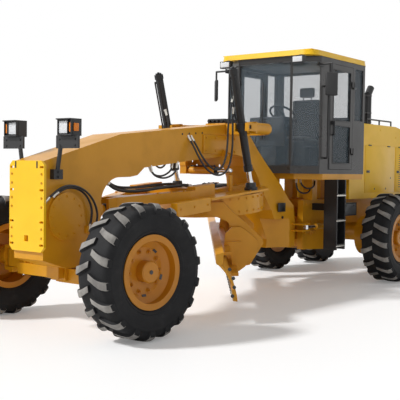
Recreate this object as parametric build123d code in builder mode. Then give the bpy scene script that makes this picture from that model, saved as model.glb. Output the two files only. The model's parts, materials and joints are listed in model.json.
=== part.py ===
from build123d import *
from math import asin, cos, degrees, hypot, radians, sin, sqrt
import os

# A motor grader, in millimetres. +X points forward, +Y to the machine's left, +Z up.
# The origin is on the ground, below the middle of the whole machine.
# "Behind" is a distance measured rearwards from the front axle.

# Running gear
wheelbase = 6480
tandem_spacing = 1540
rear_track = 2200
front_axle_x = 3810
tyre_radius = 675
tyre_width = 430
tread_half = 185
sidewall_radius = 540
lug_height = 32
lugs_per_side = 16
lug_bar = 56
rim_radius = 318
flange_radius = 369
rim_half_width = 170
rim_wall = 12
hub_radius = 110
hub_cap = 150
nut_circle = 200
nut_count = 10
spindle_radius = 60
kingpin_half = 866
kingpin_radius = 30
kingpin_to_wheel = 212
steer_rest = -5.5
steering_arm = 140
steering_bar_height = 468
axle_half_depth = 80
axle_pin_height = 580
case_inner = 620
case_outer = 860
case_radius = 300
case_height = 690

# Clearances: still fits, turning fits, and gaps between moving bodies
seat = 0.3
running = 0.05
swing = 6

# Front frame
plate_front = 555
plate_thickness = 30
plate_half_width = 262
plate_bottom = 830
plate_top = 1745
beam_half_width = 220
hitch_half_width = 345
hitch_face_behind = 4100
hinge_behind = 4450
hinge_pin_radius = 45
hinge_boss_radius = 90
fork_heights = ((1105, 1145), (955, 995), (755, 795), (605, 645))
nose_bottom = 640
lock_radius = 420
lock_centre = 2050

# Rear frame, tandem and hood
rail_inner = 250
rail_outer = 340
hitch_cylinder_y = 480
wall_start_behind = 4330
cross_wall_behind = 4800
rail_bottom = 860
rail_top = 1250
frame_bottom = 480
frame_end_behind = 8230
hitch_tip_behind = 8330
hood_half = 550
hood_front_behind = 5345
hood_rear_behind = 8150
hood_front_top = 2440
hood_rear_top = 2270
hood_wall = 25

# Drawbar, circle and blade
ball_behind = 560
ball_height = 1215
ball_radius = 70
drawbar_tilt = 5
circle_reach = 1967
circle_radius = 670
circle_inner = 545
circle_depth = 90
circle_gap = 6
drum_radius = 690
drum_wall = 40
drum_depth = 240
blade_angle = 51.5
blade_length = 3660
blade_shift = 100
blade_plate = 22
blade_curve = 600
blade_bottom_angle = 2
blade_top_angle = 48
lift_spread = 600
lift_top = (-2160, 2910)
lift_ball = (-2580, 1485)
lift_ball_radius = 50
barrel_radius = 50
rod_radius = 32

# Cab
cab_floor = 1668
cab_roof = 3270
cab_front_behind = 3770
cab_corner_behind = 3990
cab_rear_behind = 5330
cab_front_half = 450
cab_half = 790
cab_wall = 45
door_front_behind = 4270
door_rear_behind = 4950
pane = 8
door_gap = 5
door_hinge_x = front_axle_x - door_rear_behind + door_gap
hinge_heights = (cab_floor + 312, cab_roof - 320)
hinge_out = 16
hinge_pin = 9
hinge_knuckle = 11
sill_high = 1750
glass_top = cab_roof - 80
rear_pane_half = 640
rear_pane_low = hood_front_top + 60
front_pane_half = 425
side_pane_low = 2430
side_pane_behind = (5270, 5010)
door_low = cab_floor + 32
door_high = cab_roof - 70
door_stile = 75
door_windows = ((1790, 2330), (2400, cab_roof - 150))
roof_behind = 4600
roof_size = (1720, 1600)
roof_corner = 180
roof_thick = 75
roof_taper = 12

# Seat, steering console, ladders, mirrors, exhaust, lamps and grille
seat_half = 230
seat_high = 480
wheel_tilt = 35
step_behind = (4570, 4300)
step_half = (700, 905)
step_heights = (600, 960, 1320)
step_thick = 25
step_low = 560
mirror_size = (35, 165, 300)
mirror_turn = 50
mirror_half = 980
mirror_behind = 3942
mirror_low = cab_roof - 550
mirror_arm = cab_roof - 120
exhaust_behind = 6230
exhaust_side = 400
exhaust_top = 2950
exhaust_radius = 60
work_lamp_low = cab_roof - 120
work_lamp_half = (520, 700)
slat_count = 14
slat_high = 14

sides = (("left", 1), ("right", -1))


def behind(distance):
    return front_axle_x - distance


def ahead(points):
    return [(front_axle_x + x, z) for x, z in points]


def block(x, y, z, mode=Mode.ADD):
    with Locations(((x[0] + x[1]) / 2, (y[0] + y[1]) / 2, (z[0] + z[1]) / 2)):
        Box(abs(x[1] - x[0]), abs(y[1] - y[0]), abs(z[1] - z[0]), mode=mode)


def bar(start, end, radius, mode=Mode.ADD):
    way = Vector(*end) - Vector(*start)
    with Locations(Plane(origin=start, z_dir=way).location):
        Cylinder(radius, way.length, align=(Align.CENTER, Align.CENTER, Align.MIN), mode=mode)


def side_plate(points, y_low, y_high, mode=Mode.ADD):
    with BuildSketch(Plane.XZ.offset(-y_high)) as outline:
        with BuildLine():
            Polyline(*points, close=True)
        make_face()
    extrude(outline.sketch, amount=y_high - y_low, mode=mode)


def plan_plate(points, z_low, z_high, mode=Mode.ADD):
    with BuildSketch(Plane.XY.offset(z_low)) as outline:
        with BuildLine():
            Polyline(*points, close=True)
        make_face()
    extrude(outline.sketch, amount=z_high - z_low, mode=mode)


def save(builder, label):
    builder.part.label = label
    export_step(builder.part, f"parts/{label}.step")


def save_placed(shape, location, label):
    with BuildPart() as piece:
        with Locations(location):
            add(shape)
    save(piece, label)


os.makedirs("parts", exist_ok=True)

# Tyre, with its axle along Z and its outer side up. Each lug stands on one flat of its tread
carcass_radius = tyre_radius - lug_height
half_tyre = tyre_width / 2
bead = rim_radius + seat
flange_inner = rim_half_width - rim_wall - seat
lug_top = sqrt(tyre_radius ** 2 - lug_bar ** 2)
lug_phase = 90 - degrees(asin(lug_bar / tyre_radius))
flats = 2 * lugs_per_side


def ring(height, radius, count=flats):
    """A regular outline round the axle, with a flat under each lug."""
    with BuildSketch(Plane.XY.offset(height)) as outline:
        RegularPolygon(radius, count, major_radius=False, rotation=lug_phase + 180 / count)
    return outline.sketch


with BuildPart() as tyre:
    for way in (1, -1):
        loft((ring(way * tread_half, carcass_radius), ring(way * half_tyre, sidewall_radius)), ruled=True)
    extrude(ring(-tread_half, carcass_radius), amount=2 * tread_half)
    for way in (1, -1):
        loft((ring(way * half_tyre, sidewall_radius), ring(way * flange_inner, flange_radius + 6)),
             ruled=True, mode=Mode.SUBTRACT)
    extrude(ring(-half_tyre, bead, lugs_per_side), amount=tyre_width, mode=Mode.SUBTRACT)
with BuildPart() as lug:
    with BuildSketch(Plane(origin=(carcass_radius - 4, 0, 0), x_dir=(0, 1, 0), z_dir=(1, 0, 0))):
        with BuildLine():
            Polyline((-lug_bar / 2, 6), (lug_bar / 2, 6), (lug_bar, tread_half), (0, tread_half), close=True)
        make_face()
    extrude(amount=lug_top - carcass_radius + 4)
with BuildPart() as lugged_tyre:
    add(tyre.part)
    inner_lug = mirror(lug.part, about=Plane.XY)
    for side_lug, phase in ((lug.part, 0), (inner_lug, 180 / lugs_per_side)):
        with PolarLocations(0, lugs_per_side, start_angle=lug_phase + phase):
            add(side_lug)

# Rim with its dished disc, hub and blind spindle bore
bore = spindle_radius + running
spindle_depth = 120
with BuildPart() as rim:
    inside = rim_radius - rim_wall
    lip = rim_half_width - rim_wall
    with BuildSketch(Plane.XZ):
        with BuildLine():
            Polyline((bore, -60), (hub_radius, -60), (hub_radius, 30), (240, 30), (inside, 72),
                     (inside, -rim_half_width), (flange_radius, -rim_half_width),
                     (flange_radius, -lip), (rim_radius, -lip), (rim_radius, lip),
                     (flange_radius, lip), (flange_radius, rim_half_width),
                     (inside, rim_half_width), (inside, 90), (236, 46), (hub_radius, 46),
                     (hub_radius, hub_cap - 12), (hub_radius - 12, hub_cap), (0, hub_cap),
                     (0, spindle_depth), (bore, spindle_depth), close=True)
        make_face()
    revolve(axis=Axis.Z)
    with Locations((0, 0, 46)):
        with PolarLocations(nut_circle, nut_count):
            Cylinder(16, 22, align=(Align.CENTER, Align.CENTER, Align.MIN))

# Wheel places: name, x, y, turn about the kingpin, outward side
wheels = []
for side, way in sides:
    outward = Vector(0, way * kingpin_to_wheel, 0).rotate(Axis.Z, steer_rest)
    wheels.append((f"front_{side}", front_axle_x + outward.X, way * kingpin_half + outward.Y,
                   steer_rest, way))
    for row, shift in (("front", tandem_spacing / 2), ("back", -tandem_spacing / 2)):
        wheels.append((f"{side}_tandem_{row}", behind(wheelbase) + shift, way * rear_track / 2,
                       0, way))
for name, x, y, turn, way in wheels:
    spot = Location((x, y, tyre_radius)) * Location((0, 0, 0), (0, 0, turn))
    spot = spot * Location((0, 0, 0), (-90 * way, 0, 0))
    save_placed(lugged_tyre.part, spot, f"tyre_{name}")
    save_placed(rim.part, spot, f"rim_{name}")

# Steering knuckle of the left wheel, its kingpin at the origin
boss_low, boss_high = 560, 755
with BuildPart() as knuckle:
    block((-60, 60), (-60, 90), (boss_high + 5, boss_high + 45))
    block((-60, 60), (-60, 90), (boss_low - 45, boss_low - 5))
    block((-60, 60), (66, 90), (boss_low - 45, boss_high + 45))
    bar((0, 0, boss_low - 45), (0, 0, boss_high + 45), kingpin_radius)
    bar((0, 66, tyre_radius), (0, kingpin_to_wheel - 66, tyre_radius), spindle_radius + 25)
    bar((0, 66, tyre_radius), (0, kingpin_to_wheel + spindle_depth - 5, tyre_radius),
        spindle_radius)
    block((-steering_arm - 30, 40), (-28, 28), (boss_low - 65, boss_low - 45))
right_knuckle = mirror(knuckle.part, about=Plane.XZ)
for side, way, shape in (("left", 1, knuckle.part), ("right", -1, right_knuckle)):
    save_placed(shape, Location((front_axle_x, way * kingpin_half, 0), (0, 0, steer_rest)),
                f"knuckle_{side}")

# Front axle: beam, kingpin bosses, pivot block with its pin, and the steering cylinder's barrel
steering_x = front_axle_x - steering_arm
with BuildPart() as front_axle:
    block((front_axle_x - axle_half_depth, front_axle_x + axle_half_depth), (-700, 700), (500, 620))
    for side, way in sides:
        block((front_axle_x - 55, front_axle_x + 55), (way * 690, way * (kingpin_half - 10)),
              (boss_low, boss_high))
        block((front_axle_x - 55, front_axle_x + 55), (way * 600, way * 700), (560, 700))
        bar((front_axle_x, way * kingpin_half, boss_low), (front_axle_x, way * kingpin_half, boss_high), 58)
        bar((front_axle_x, way * kingpin_half, boss_low), (front_axle_x, way * kingpin_half, boss_high),
            kingpin_radius + running, Mode.SUBTRACT)
    block((front_axle_x - 120, front_axle_x + 120), (-110, 110), (490, nose_bottom - swing))
    bar((front_axle_x - 200, 0, axle_pin_height), (front_axle_x + 200, 0, axle_pin_height), 40)
    bar((steering_x, -250, steering_bar_height), (steering_x, 250, steering_bar_height), 45)
    block((steering_x, front_axle_x - axle_half_depth + 10), (-240, -180), (440, 520))
    block((steering_x, front_axle_x - axle_half_depth + 10), (180, 240), (440, 520))
    bar((steering_x, -251, steering_bar_height), (steering_x, 251, steering_bar_height),
        22 + running, Mode.SUBTRACT)
save(front_axle, "front_axle")

# Steering bar, its eyes just under the knuckles' arms
tip = Vector(-steering_arm, 0, 0).rotate(Axis.Z, steer_rest)
eye_top = boss_low - 65 - swing
with BuildPart() as steering_bar:
    bar((steering_x, tip.Y - kingpin_half, steering_bar_height),
        (steering_x, tip.Y + kingpin_half, steering_bar_height), 22)
    for side, way in sides:
        eye = (steering_x, way * kingpin_half + tip.Y, 0)
        bar((eye[0], eye[1], steering_bar_height - 20), (eye[0], eye[1], eye_top), 26)
save(steering_bar, "steering_bar")

# Front frame: gooseneck, arch over the drawbar's ball, flared slope and the hitch forks
slope = ((-2760, 2265), (-2950, 2250), (-3170, 2075), (-3490, 1760), (-3810, 1475),
         (-3990, 1265), (-hitch_face_behind, 1180), (-hitch_face_behind, 590), (-3640, 590),
         (-3650, 710), (-3510, 1130), (-3300, 1410), (-3250, 1570), (-3140, 1730), (-2950, 1850),
         (-2760, 1878))
with BuildPart() as flare:
    side_plate(ahead(slope), -hitch_half_width, hitch_half_width)
    with BuildSketch(Plane.YZ.offset(behind(hitch_face_behind))):
        with BuildLine():
            top, low = beam_half_width, hitch_half_width
            Polyline((-top, 2300), (top, 2300), (top, 1950), (low, 950), (low, 500), (-low, 500),
                     (-low, 950), (-top, 1950), close=True)
        make_face()
    extrude(amount=2000, mode=Mode.INTERSECT)
    for way in (1, -1):
        plan_plate(((behind(3950), way * 346), (behind(3520), way * 80), (behind(3520), way * 346)),
                   580, 1000, Mode.SUBTRACT)
# Ball seat of the drawbar, behind the nose
with BuildPart() as ball_seat:
    for radius, reach in ((60, 30), (110, 130)):
        bar((behind(280), 0, ball_height), (behind(ball_behind - reach), 0, ball_height), radius)
    with Locations((behind(ball_behind), 0, ball_height)):
        Sphere(ball_radius + seat, rotation=(0, 90, 0), mode=Mode.SUBTRACT)
with BuildPart() as front_frame:
    with BuildSketch(Plane.XZ.offset(-beam_half_width)):
        with BuildLine():
            Polyline(*ahead(((-285, 1280), (-285, 860), (-210, nose_bottom), (200, nose_bottom),
                             (525, 745), (525, 1740), (-590, 2056), (-2640, 2270), (-2800, 2265),
                             (-2800, 1880), (-1890, 1790), (-980, 1690), (-865, 1604),
                             (-740, 1584), (-560, 1580))))
            ThreePointArc(*ahead(((-560, 1580), (-370, 1495), (-285, 1280))))
        make_face()
    extrude(amount=2 * beam_half_width)
    add(flare.part)
    # Pivot bosses on the nose and lugs that hold the axle's pin
    with BuildSketch(Plane.XZ.offset(-beam_half_width - 30)):
        with Locations((front_axle_x + 230, 1180)):
            Circle(245)
    extrude(amount=2 * beam_half_width + 60)
    # Lock plate below the beam, with holes along its arc
    with BuildSketch(Plane.YZ.offset(behind(2485))):
        with BuildLine():
            start, end = (Vector(0, -lock_radius).rotate(Axis.Z, way * 65) for way in (-1, 1))
            low = (0, -lock_radius)
            Polyline(end + (0, lock_centre), (0, lock_centre), start + (0, lock_centre))
            ThreePointArc(start + (0, lock_centre), (0, lock_centre - lock_radius), end + (0, lock_centre))
        make_face()
        with Locations((0, lock_centre)):
            with PolarLocations(lock_radius - 50, 9, start_angle=-90 - 60, angular_range=120, endpoint=True):
                Circle(20, mode=Mode.SUBTRACT)
    extrude(amount=25)
    for x in (-200, 126):
        block((front_axle_x + x, front_axle_x + x + 74), (-90, 90), (520, nose_bottom + 5))
    bar((front_axle_x - 201, 0, axle_pin_height), (front_axle_x + 201, 0, axle_pin_height),
        40 + seat, Mode.SUBTRACT)
    add(ball_seat.part)
    # Hitch forks round the articulation pin
    hinge_x = behind(hinge_behind)
    for low, high in fork_heights:
        plan_plate(((behind(hitch_face_behind) + 40, 240), (hinge_x + 30, 86), (hinge_x + 30, -86),
                    (behind(hitch_face_behind) + 40, -240)), low, high)
        bar((hinge_x, 0, low), (hinge_x, 0, high), hinge_boss_radius)
        bar((hinge_x, 0, low - 1), (hinge_x, 0, high + 1), hinge_pin_radius + running, Mode.SUBTRACT)
    # Lugs of the articulation cylinders
    for side, way in sides:
        for low, high in ((905, 925), (815, 835)):
            block((behind(4235), behind(4010)), (way * (hitch_half_width - 5), way * (hitch_cylinder_y + 38)),
                  (low, high))
save(front_frame, "front_frame")

# Front plate, with slots along its edges and a square tow hole
with BuildPart() as front_plate:
    with BuildSketch(Plane.YZ.offset(front_axle_x + plate_front - plate_thickness)):
        with Locations((0, (plate_bottom + plate_top) / 2)):
            Rectangle(2 * plate_half_width, plate_top - plate_bottom)
        chamfer(vertices(), 45)
        for z in (900, 1130, 1450, 1680):
            for y in (-225, 225):
                with Locations((y, z)):
                    SlotOverall(60, 22, mode=Mode.SUBTRACT)
        with Locations((0, 960)):
            Rectangle(60, 60, mode=Mode.SUBTRACT)
    extrude(amount=plate_thickness)
save(front_plate, "front_plate")

# Headlamps on their posts
with BuildPart() as headlamps:
    for side, way in sides:
        block((front_axle_x + 320, front_axle_x + 440), (way * beam_half_width, way * (beam_half_width + 60)),
              (1560, 1660))
        bar((front_axle_x + 380, way * 255, 1600), (front_axle_x + 380, way * 310, 1900), 22)
        block((front_axle_x + 370, front_axle_x + 390), (way * 250, way * 570), (1870, 2000))
        block((front_axle_x + 290, front_axle_x + 410), (way * 310, way * 510), (1995, 2165))
save(headlamps, "headlamps")

# Lift saddle: tubes along the beam that hold the lift cylinders' yokes, on plates round the beam
swing_x = behind(2370)
swing_z = 1665
swing_pin_y = -290
swing_tip_y = 420
swing_pin_radius = 20
lift_dx, lift_dz = lift_top[0] - lift_ball[0], lift_top[1] - lift_ball[1]
lift_length = hypot(lift_dx, lift_dz)
trunnion_z = 2210
trunnion_x = lift_ball[0] + lift_dx * (trunnion_z - lift_ball[1]) / lift_dz
yoke_back = front_axle_x + trunnion_x - 150
yoke_shaft = 42
with BuildPart() as lift_saddle:
    for side, way in sides:
        bar((yoke_back - swing, way * lift_spread, trunnion_z), (yoke_back - 420, way * lift_spread, trunnion_z), 72)
        for x in (-60, -380):
            block((yoke_back + x, yoke_back + x + 40), (way * beam_half_width, way * lift_spread), (2130, 2262))
        bar((yoke_back + 1, way * lift_spread, trunnion_z), (yoke_back - 421, way * lift_spread, trunnion_z),
            yoke_shaft + running, Mode.SUBTRACT)
    # Arm down on the right that carries the side-swing cylinder
    block((swing_x - 70, swing_x + 70), (swing_pin_y - 50, -beam_half_width), (1900, 2135))
    block((swing_x - 70, swing_x + 70), (swing_pin_y - 50, swing_pin_y + 50), (swing_z + 60, 2135))
    for x in (-60, 36):
        block((swing_x + x, swing_x + x + 24), (swing_pin_y - 50, swing_pin_y + 50),
              (swing_z - 45, swing_z + 60))
    bar((swing_x - 60, swing_pin_y, swing_z), (swing_x + 60, swing_pin_y, swing_z), swing_pin_radius)
save(lift_saddle, "lift_saddle")

# Lift cylinders: yoke, barrel and rod, built upright at the trunnion and leaned back
lean = Location((front_axle_x + trunnion_x, 0, trunnion_z),
                (0, 90 - Vector(lift_dx, 0, lift_dz).get_angle(Vector(1, 0, 0)), 0))
above = hypot(lift_top[0] - trunnion_x, lift_top[1] - trunnion_z)
below = lift_length - above
barrel_end = below - 190
with BuildPart() as barrel:
    bar((0, 0, -barrel_end), (0, 0, above), barrel_radius)
    bar((0, 0, above - 60), (0, 0, above), barrel_radius + 8)
    bar((0, 0, -barrel_end), (0, 0, -barrel_end + 70), barrel_radius + 8)
    bar((0, 0, -55), (0, 0, 55), barrel_radius + 14)
    bar((0, -115, 0), (0, 115, 0), 28)
    bar((0, 0, -barrel_end - 1), (0, 0, above - 40), rod_radius + running, Mode.SUBTRACT)
with BuildPart() as lift_rod:
    bar((0, 0, -below), (0, 0, above - 195), rod_radius)
    with Locations((0, 0, -below)):
        Sphere(lift_ball_radius)
    bar((0, 0, -below), (0, 0, -below + 65), rod_radius + 8)
with BuildPart() as yoke:
    block((-150, -122), (-128, 128), (-70, 70))
    for way in (1, -1):
        block((-150, 45), (way * (barrel_radius + 24), way * 128), (-50, 50))
    bar((0, -129, 0), (0, 129, 0), 28 + running, Mode.SUBTRACT)
    bar((-149, 0, 0), (-545, 0, 0), yoke_shaft)
for side, way in sides:
    spot = Location((0, way * lift_spread, 0)) * lean
    save_placed(barrel.part, spot, f"lift_barrel_{side}")
    save_placed(lift_rod.part, spot, f"lift_rod_{side}")
    save_placed(yoke.part, Location((front_axle_x + trunnion_x, way * lift_spread, trunnion_z)),
                f"lift_yoke_{side}")

# The drawbar's plane passes through its ball and rises to the rear
ball = Vector(behind(ball_behind), 0, ball_height)
tilt = radians(drawbar_tilt)
drawbar_place = Plane(origin=ball, x_dir=(cos(tilt), 0, -sin(tilt)), z_dir=(sin(tilt), 0, cos(tilt))).location
ledge_top = 34
beam_inner, beam_outer = 400, 520
deck_front = -1280

swing_local = Plane(drawbar_place).to_local_coords(Vector(swing_x, swing_tip_y, swing_z))

# Swivel ball of the drawbar: a ring turning about the upright pin of the ball seat
with BuildPart() as drawbar_ball:
    Sphere(ball_radius)
    bar((0, -95, 0), (0, 95, 0), 26)
save_placed(drawbar_ball.part, drawbar_place, "drawbar_ball")

# Drawbar: a V of box beams from the ball to two side beams, with ledges over the circle
beam_low, beam_high = circle_gap, 170
with BuildPart() as drawbar:
    for way in (1, -1):
        plan_plate(((-90, way * 76), (-90, way * 120), (-900, way * beam_outer),
                    (deck_front, way * beam_outer), (deck_front, way * beam_inner),
                    (-1000, way * beam_inner), (-260, way * 30), (-150, way * 30), (-150, way * 76)),
                   beam_low, beam_high - 40)
        plan_plate(((-1000, way * beam_inner), (-1000, way * beam_outer),
                    (deck_front - 100, way * beam_outer), (deck_front - 200, way * beam_inner)),
                   beam_low, beam_high)
        block((-150, 40), (way * 76, way * 116), (-50, beam_high - 40))
        block((-2480, deck_front), (way * 230, way * 330), (beam_low, 75))
    plan_plate(((-900, beam_outer - 5), (-1080, 700), (-2300, 700), (-2500, beam_outer - 5),
                (-2500, 5 - beam_outer), (-2300, -700), (-1080, -700), (-900, 5 - beam_outer)),
               beam_low, ledge_top)
    block((-330, -150), (-116, 116), (beam_low, beam_high - 40))
    block((deck_front, deck_front + 120), (-beam_inner - 5, beam_inner + 5), (beam_low, beam_high - 40))
    bar((0, -130, 0), (0, 130, 0), 26 + running, Mode.SUBTRACT)
    # Shoes that hold the circle by its inner edge
    shoe_top = -circle_gap - circle_depth - seat
    for angle in (45, 135, 225, 315):
        with Locations(Location((-circle_reach, 0, 0), (0, 0, angle))):
            with Locations(((505 + circle_inner - swing) / 2, 0, (shoe_top - 30 + ledge_top - 5) / 2)):
                Box(circle_inner - swing - 505, 120, ledge_top - 5 - shoe_top + 30)
            with Locations(((505 + circle_inner + 40) / 2, 0, shoe_top - 15)):
                Box(circle_inner + 40 - 505, 120, 30)
    # Valve box beside the left beam, on its bracket
    block((-1050, -440), (600, 700), (-110, 45))
    block((-1000, -880), (beam_outer - 30, 605), (beam_low, 45))
    # Post under the side-swing cylinder's ball
    x, y = swing_local.X, swing_tip_y
    bar((x, y, ledge_top - 5), (x, y, swing_local.Z - 34 - 20), 30)
save_placed(drawbar.part, drawbar_place, "drawbar")

# Circle with its two side arms. Blade axes: s along the blade, n to its concave front
circle_place = drawbar_place * Location((-circle_reach, 0, 0), (0, 0, 90 - blade_angle))
arm_at = 700
arm_plate = 44
pivot_n, pivot_w = -330, -800
rail_lower, rail_upper = pivot_w - 50, pivot_w + 200
arm_outline = ((60, -60), (-140, -60), (-254, -186), (-444, -366), (-608, -538), (-615, -590), (-440, -850), (-330, -865),
               (-275, -830), (-265, -640), (-260, -430), (-180, -300), (60, -190))


def across(points, s_from, s_to, mode=Mode.ADD):
    """A plate whose outline (n, w) lies across the blade, between two places along it."""
    with BuildSketch(Plane(origin=(s_to, 0, 0), x_dir=(0, -1, 0), z_dir=(-1, 0, 0))) as outline:
        with BuildLine():
            Polyline(*points, close=True)
        make_face()
    extrude(outline.sketch, amount=s_to - s_from, mode=mode)


with BuildPart() as circle:
    with BuildSketch(Plane.XY.offset(-circle_gap - circle_depth)):
        Circle(circle_radius)
        Circle(circle_inner, mode=Mode.SUBTRACT)
    extrude(amount=circle_depth)
    with BuildSketch(Plane.XY.offset(-circle_gap - drum_depth)):
        Circle(drum_radius)
        Circle(drum_radius - drum_wall, mode=Mode.SUBTRACT)
    extrude(amount=drum_depth)
    for way in (1, -1):
        low, high = sorted((way * (arm_at - arm_plate / 2), way * (arm_at + arm_plate / 2)))
        across(arm_outline, low, high)
        block((way * 600, way * arm_at), (-60, 150), (-circle_gap - circle_depth - 40, -60))
        bar((low - 18, -pivot_n, pivot_w), (high + 18, -pivot_n, pivot_w), 60)
        bar((low - 19, -pivot_n, pivot_w), (high + 19, -pivot_n, pivot_w), 30 + running, Mode.SUBTRACT)
    with Locations((0, 0, -circle_gap)):
        Cylinder(circle_radius + 400, 100, align=(Align.CENTER, Align.CENTER, Align.MIN), mode=Mode.SUBTRACT)
save_placed(circle.part, circle_place, "circle")

# Blade carrier: end brackets on the arms' pins, joined by a tube, with jaws for the blade's rails
carrier_at = arm_at + arm_plate / 2 + 18 + swing
jaw = 60
rail_half = 20
slot = rail_half + seat
tip_plate = 30
tip_outline = ((-200, rail_upper + 30), (-130, rail_upper + 45), (-150, -440), (-231, -369), (-335, -368),
               (-400, -412), (-480, -482), (-535, -538), (-540, -600), (-530, -666), (-498, -745),
               (-400, -812), (-340, -700))
with BuildPart() as blade_carrier:
    for way in (1, -1):
        low, high = sorted((way * carrier_at, way * (carrier_at + jaw)))
        across(((-380, pivot_w - 50), (-300, rail_lower - 55), (-215, rail_lower - 55),
                (-215, rail_lower - slot), (-266 - seat, rail_lower - slot), (-266 - seat, rail_lower + slot),
                (-215, rail_lower + slot), (-215, rail_lower + 65), (-190, rail_upper - 50),
                (-130, rail_upper - 50), (-130, rail_upper - slot), (-188 - seat, rail_upper - slot),
                (-188 - seat, rail_upper + slot), (-130, rail_upper + slot), (-130, rail_upper + 60),
                (-340, rail_upper + 60), (-400, pivot_w + 40)), low, high)
        # Tip plate over the jaws, with a curved slot about the pivot
        low, high = sorted((way * carrier_at, way * (carrier_at + tip_plate)))
        with BuildSketch(Plane(origin=(high, 0, 0), x_dir=(0, -1, 0), z_dir=(-1, 0, 0))):
            with BuildLine():
                Polyline(*tip_outline, close=True)
            make_face()
            SlotArc(CenterArc((pivot_n, pivot_w), 300, 78, 36), 36, mode=Mode.SUBTRACT)
        extrude(amount=high - low)
        bar((way * (arm_at - 60), -pivot_n, pivot_w), (way * (carrier_at + 30), -pivot_n, pivot_w), 30)
        bar((way * (arm_at - 62), -pivot_n, pivot_w), (way * (arm_at - 46), -pivot_n, pivot_w), 50)
    bar((-carrier_at - 30, 190, -720), (carrier_at + 30, 190, -720), 34)
save_placed(blade_carrier.part, circle_place, "blade_carrier")

# Blade: a curved plate with a boxed top, a cutting edge, slide rails and end plates
edge_n, edge_w = -187, -1010
centre_n = edge_n + blade_curve * cos(radians(blade_bottom_angle))
centre_w = edge_w - blade_curve * sin(radians(blade_bottom_angle))


def on_blade(radius, angle):
    return (centre_n - radius * cos(radians(angle)), centre_w + radius * sin(radians(angle)))


middle_angle = (blade_bottom_angle + blade_top_angle) / 2
back = blade_curve + blade_plate
top_n, top_w = on_blade(blade_curve, blade_top_angle)
rail_length = 2560
with BuildPart() as moldboard:
    with BuildSketch(Plane(origin=(blade_length / 2 + blade_shift, 0, 0), x_dir=(0, -1, 0), z_dir=(-1, 0, 0))):
        with BuildLine():
            faces = [[on_blade(r, a) for a in (blade_bottom_angle, middle_angle, blade_top_angle)]
                     for r in (blade_curve, back)]
            for points in faces:
                ThreePointArc(*points)
            for k in (0, 2):
                Line(faces[0][k], faces[1][k])
        make_face()
    extrude(amount=blade_length)
    right_end, left_end = blade_shift - blade_length / 2, blade_shift + blade_length / 2
    across(((top_n - 75, top_w - 20), (top_n - 10, top_w - 20), (top_n, top_w), (top_n, top_w + 90),
            (top_n - 90, top_w + 110)), right_end, left_end)
    across((on_blade(back, 1), (edge_n, edge_w - 6), (edge_n + 24, edge_w), on_blade(blade_curve - 20, 14),
            on_blade(blade_curve + 2, 14)), right_end, left_end)
    across(((-266, rail_lower - rail_half), (-150, rail_lower - rail_half), (-150, rail_lower + rail_half), (-266, rail_lower + rail_half)),
           -rail_length / 2, rail_length / 2)
    across(((-188, rail_upper - rail_half), (-20, rail_upper - rail_half), (-20, rail_upper + rail_half), (-188, rail_upper + rail_half)),
           -rail_length / 2, rail_length / 2)
save_placed(moldboard.part, circle_place, "moldboard")

# Side-swing cylinder between the saddle's arm and the drawbar
with BuildPart() as swing_barrel:
    bar((swing_x, swing_pin_y, swing_z), (swing_x, swing_pin_y + 90, swing_z), 28)
    bar((swing_x, swing_pin_y + 85, swing_z), (swing_x, 220, swing_z), 48)
    bar((swing_x - 30, swing_pin_y, swing_z), (swing_x + 30, swing_pin_y, swing_z), 40)
    bar((swing_x - 31, swing_pin_y, swing_z), (swing_x + 31, swing_pin_y, swing_z),
        swing_pin_radius + running, Mode.SUBTRACT)
    bar((swing_x, swing_pin_y + 95, swing_z), (swing_x, 221, swing_z), 26 + running, Mode.SUBTRACT)
save(swing_barrel, "swing_barrel")
with BuildPart() as swing_rod:
    bar((swing_x, -20, swing_z), (swing_x, swing_tip_y, swing_z), 26)
    with Locations((swing_x, swing_tip_y, swing_z)):
        Sphere(34)
save(swing_rod, "swing_rod")

# Rear frame: hitch walls, rails, hinge knuckles with the articulation pin, rear crossmember
with BuildPart() as rear_frame:
    wall = ((behind(wall_start_behind), frame_bottom + 50), (behind(wall_start_behind), rail_top),
            (behind(frame_end_behind), rail_top), (behind(frame_end_behind), rail_bottom),
            (behind(5400), rail_bottom), (behind(5250), frame_bottom))
    for way in (1, -1):
        low, high = sorted((way * rail_inner, way * rail_outer))
        side_plate(wall, low, high)
    block((behind(cross_wall_behind + 60), behind(cross_wall_behind)), (-rail_inner, rail_inner),
          (frame_bottom + 40, rail_top))
    for a, b in ((5600, 5660), (frame_end_behind - 60, frame_end_behind)):
        block((behind(b), behind(a)), (-rail_inner, rail_inner), (rail_bottom, rail_top))
    for low, high in ((1000, 1100), (650, 750)):
        block((behind(cross_wall_behind), hinge_x), (-85, 85), (low, high))
        bar((hinge_x, 0, low), (hinge_x, 0, high), hinge_boss_radius - 5)
    bar((hinge_x, 0, 600), (hinge_x, 0, 750), hinge_pin_radius)
    bar((hinge_x, 0, 950), (hinge_x, 0, 1150), hinge_pin_radius)
    for way in (1, -1):
        for low, high in ((905, 925), (815, 835)):
            block((behind(5010), behind(4920)), (way * (rail_outer - 5), way * (hitch_cylinder_y + 45)), (low, high))
        bar((behind(4965), way * hitch_cylinder_y, 815), (behind(4965), way * hitch_cylinder_y, 925), 20)
    block((behind(hitch_tip_behind), behind(frame_end_behind)), (-450, 450), (880, 1230))
save(rear_frame, "rear_frame")

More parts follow.
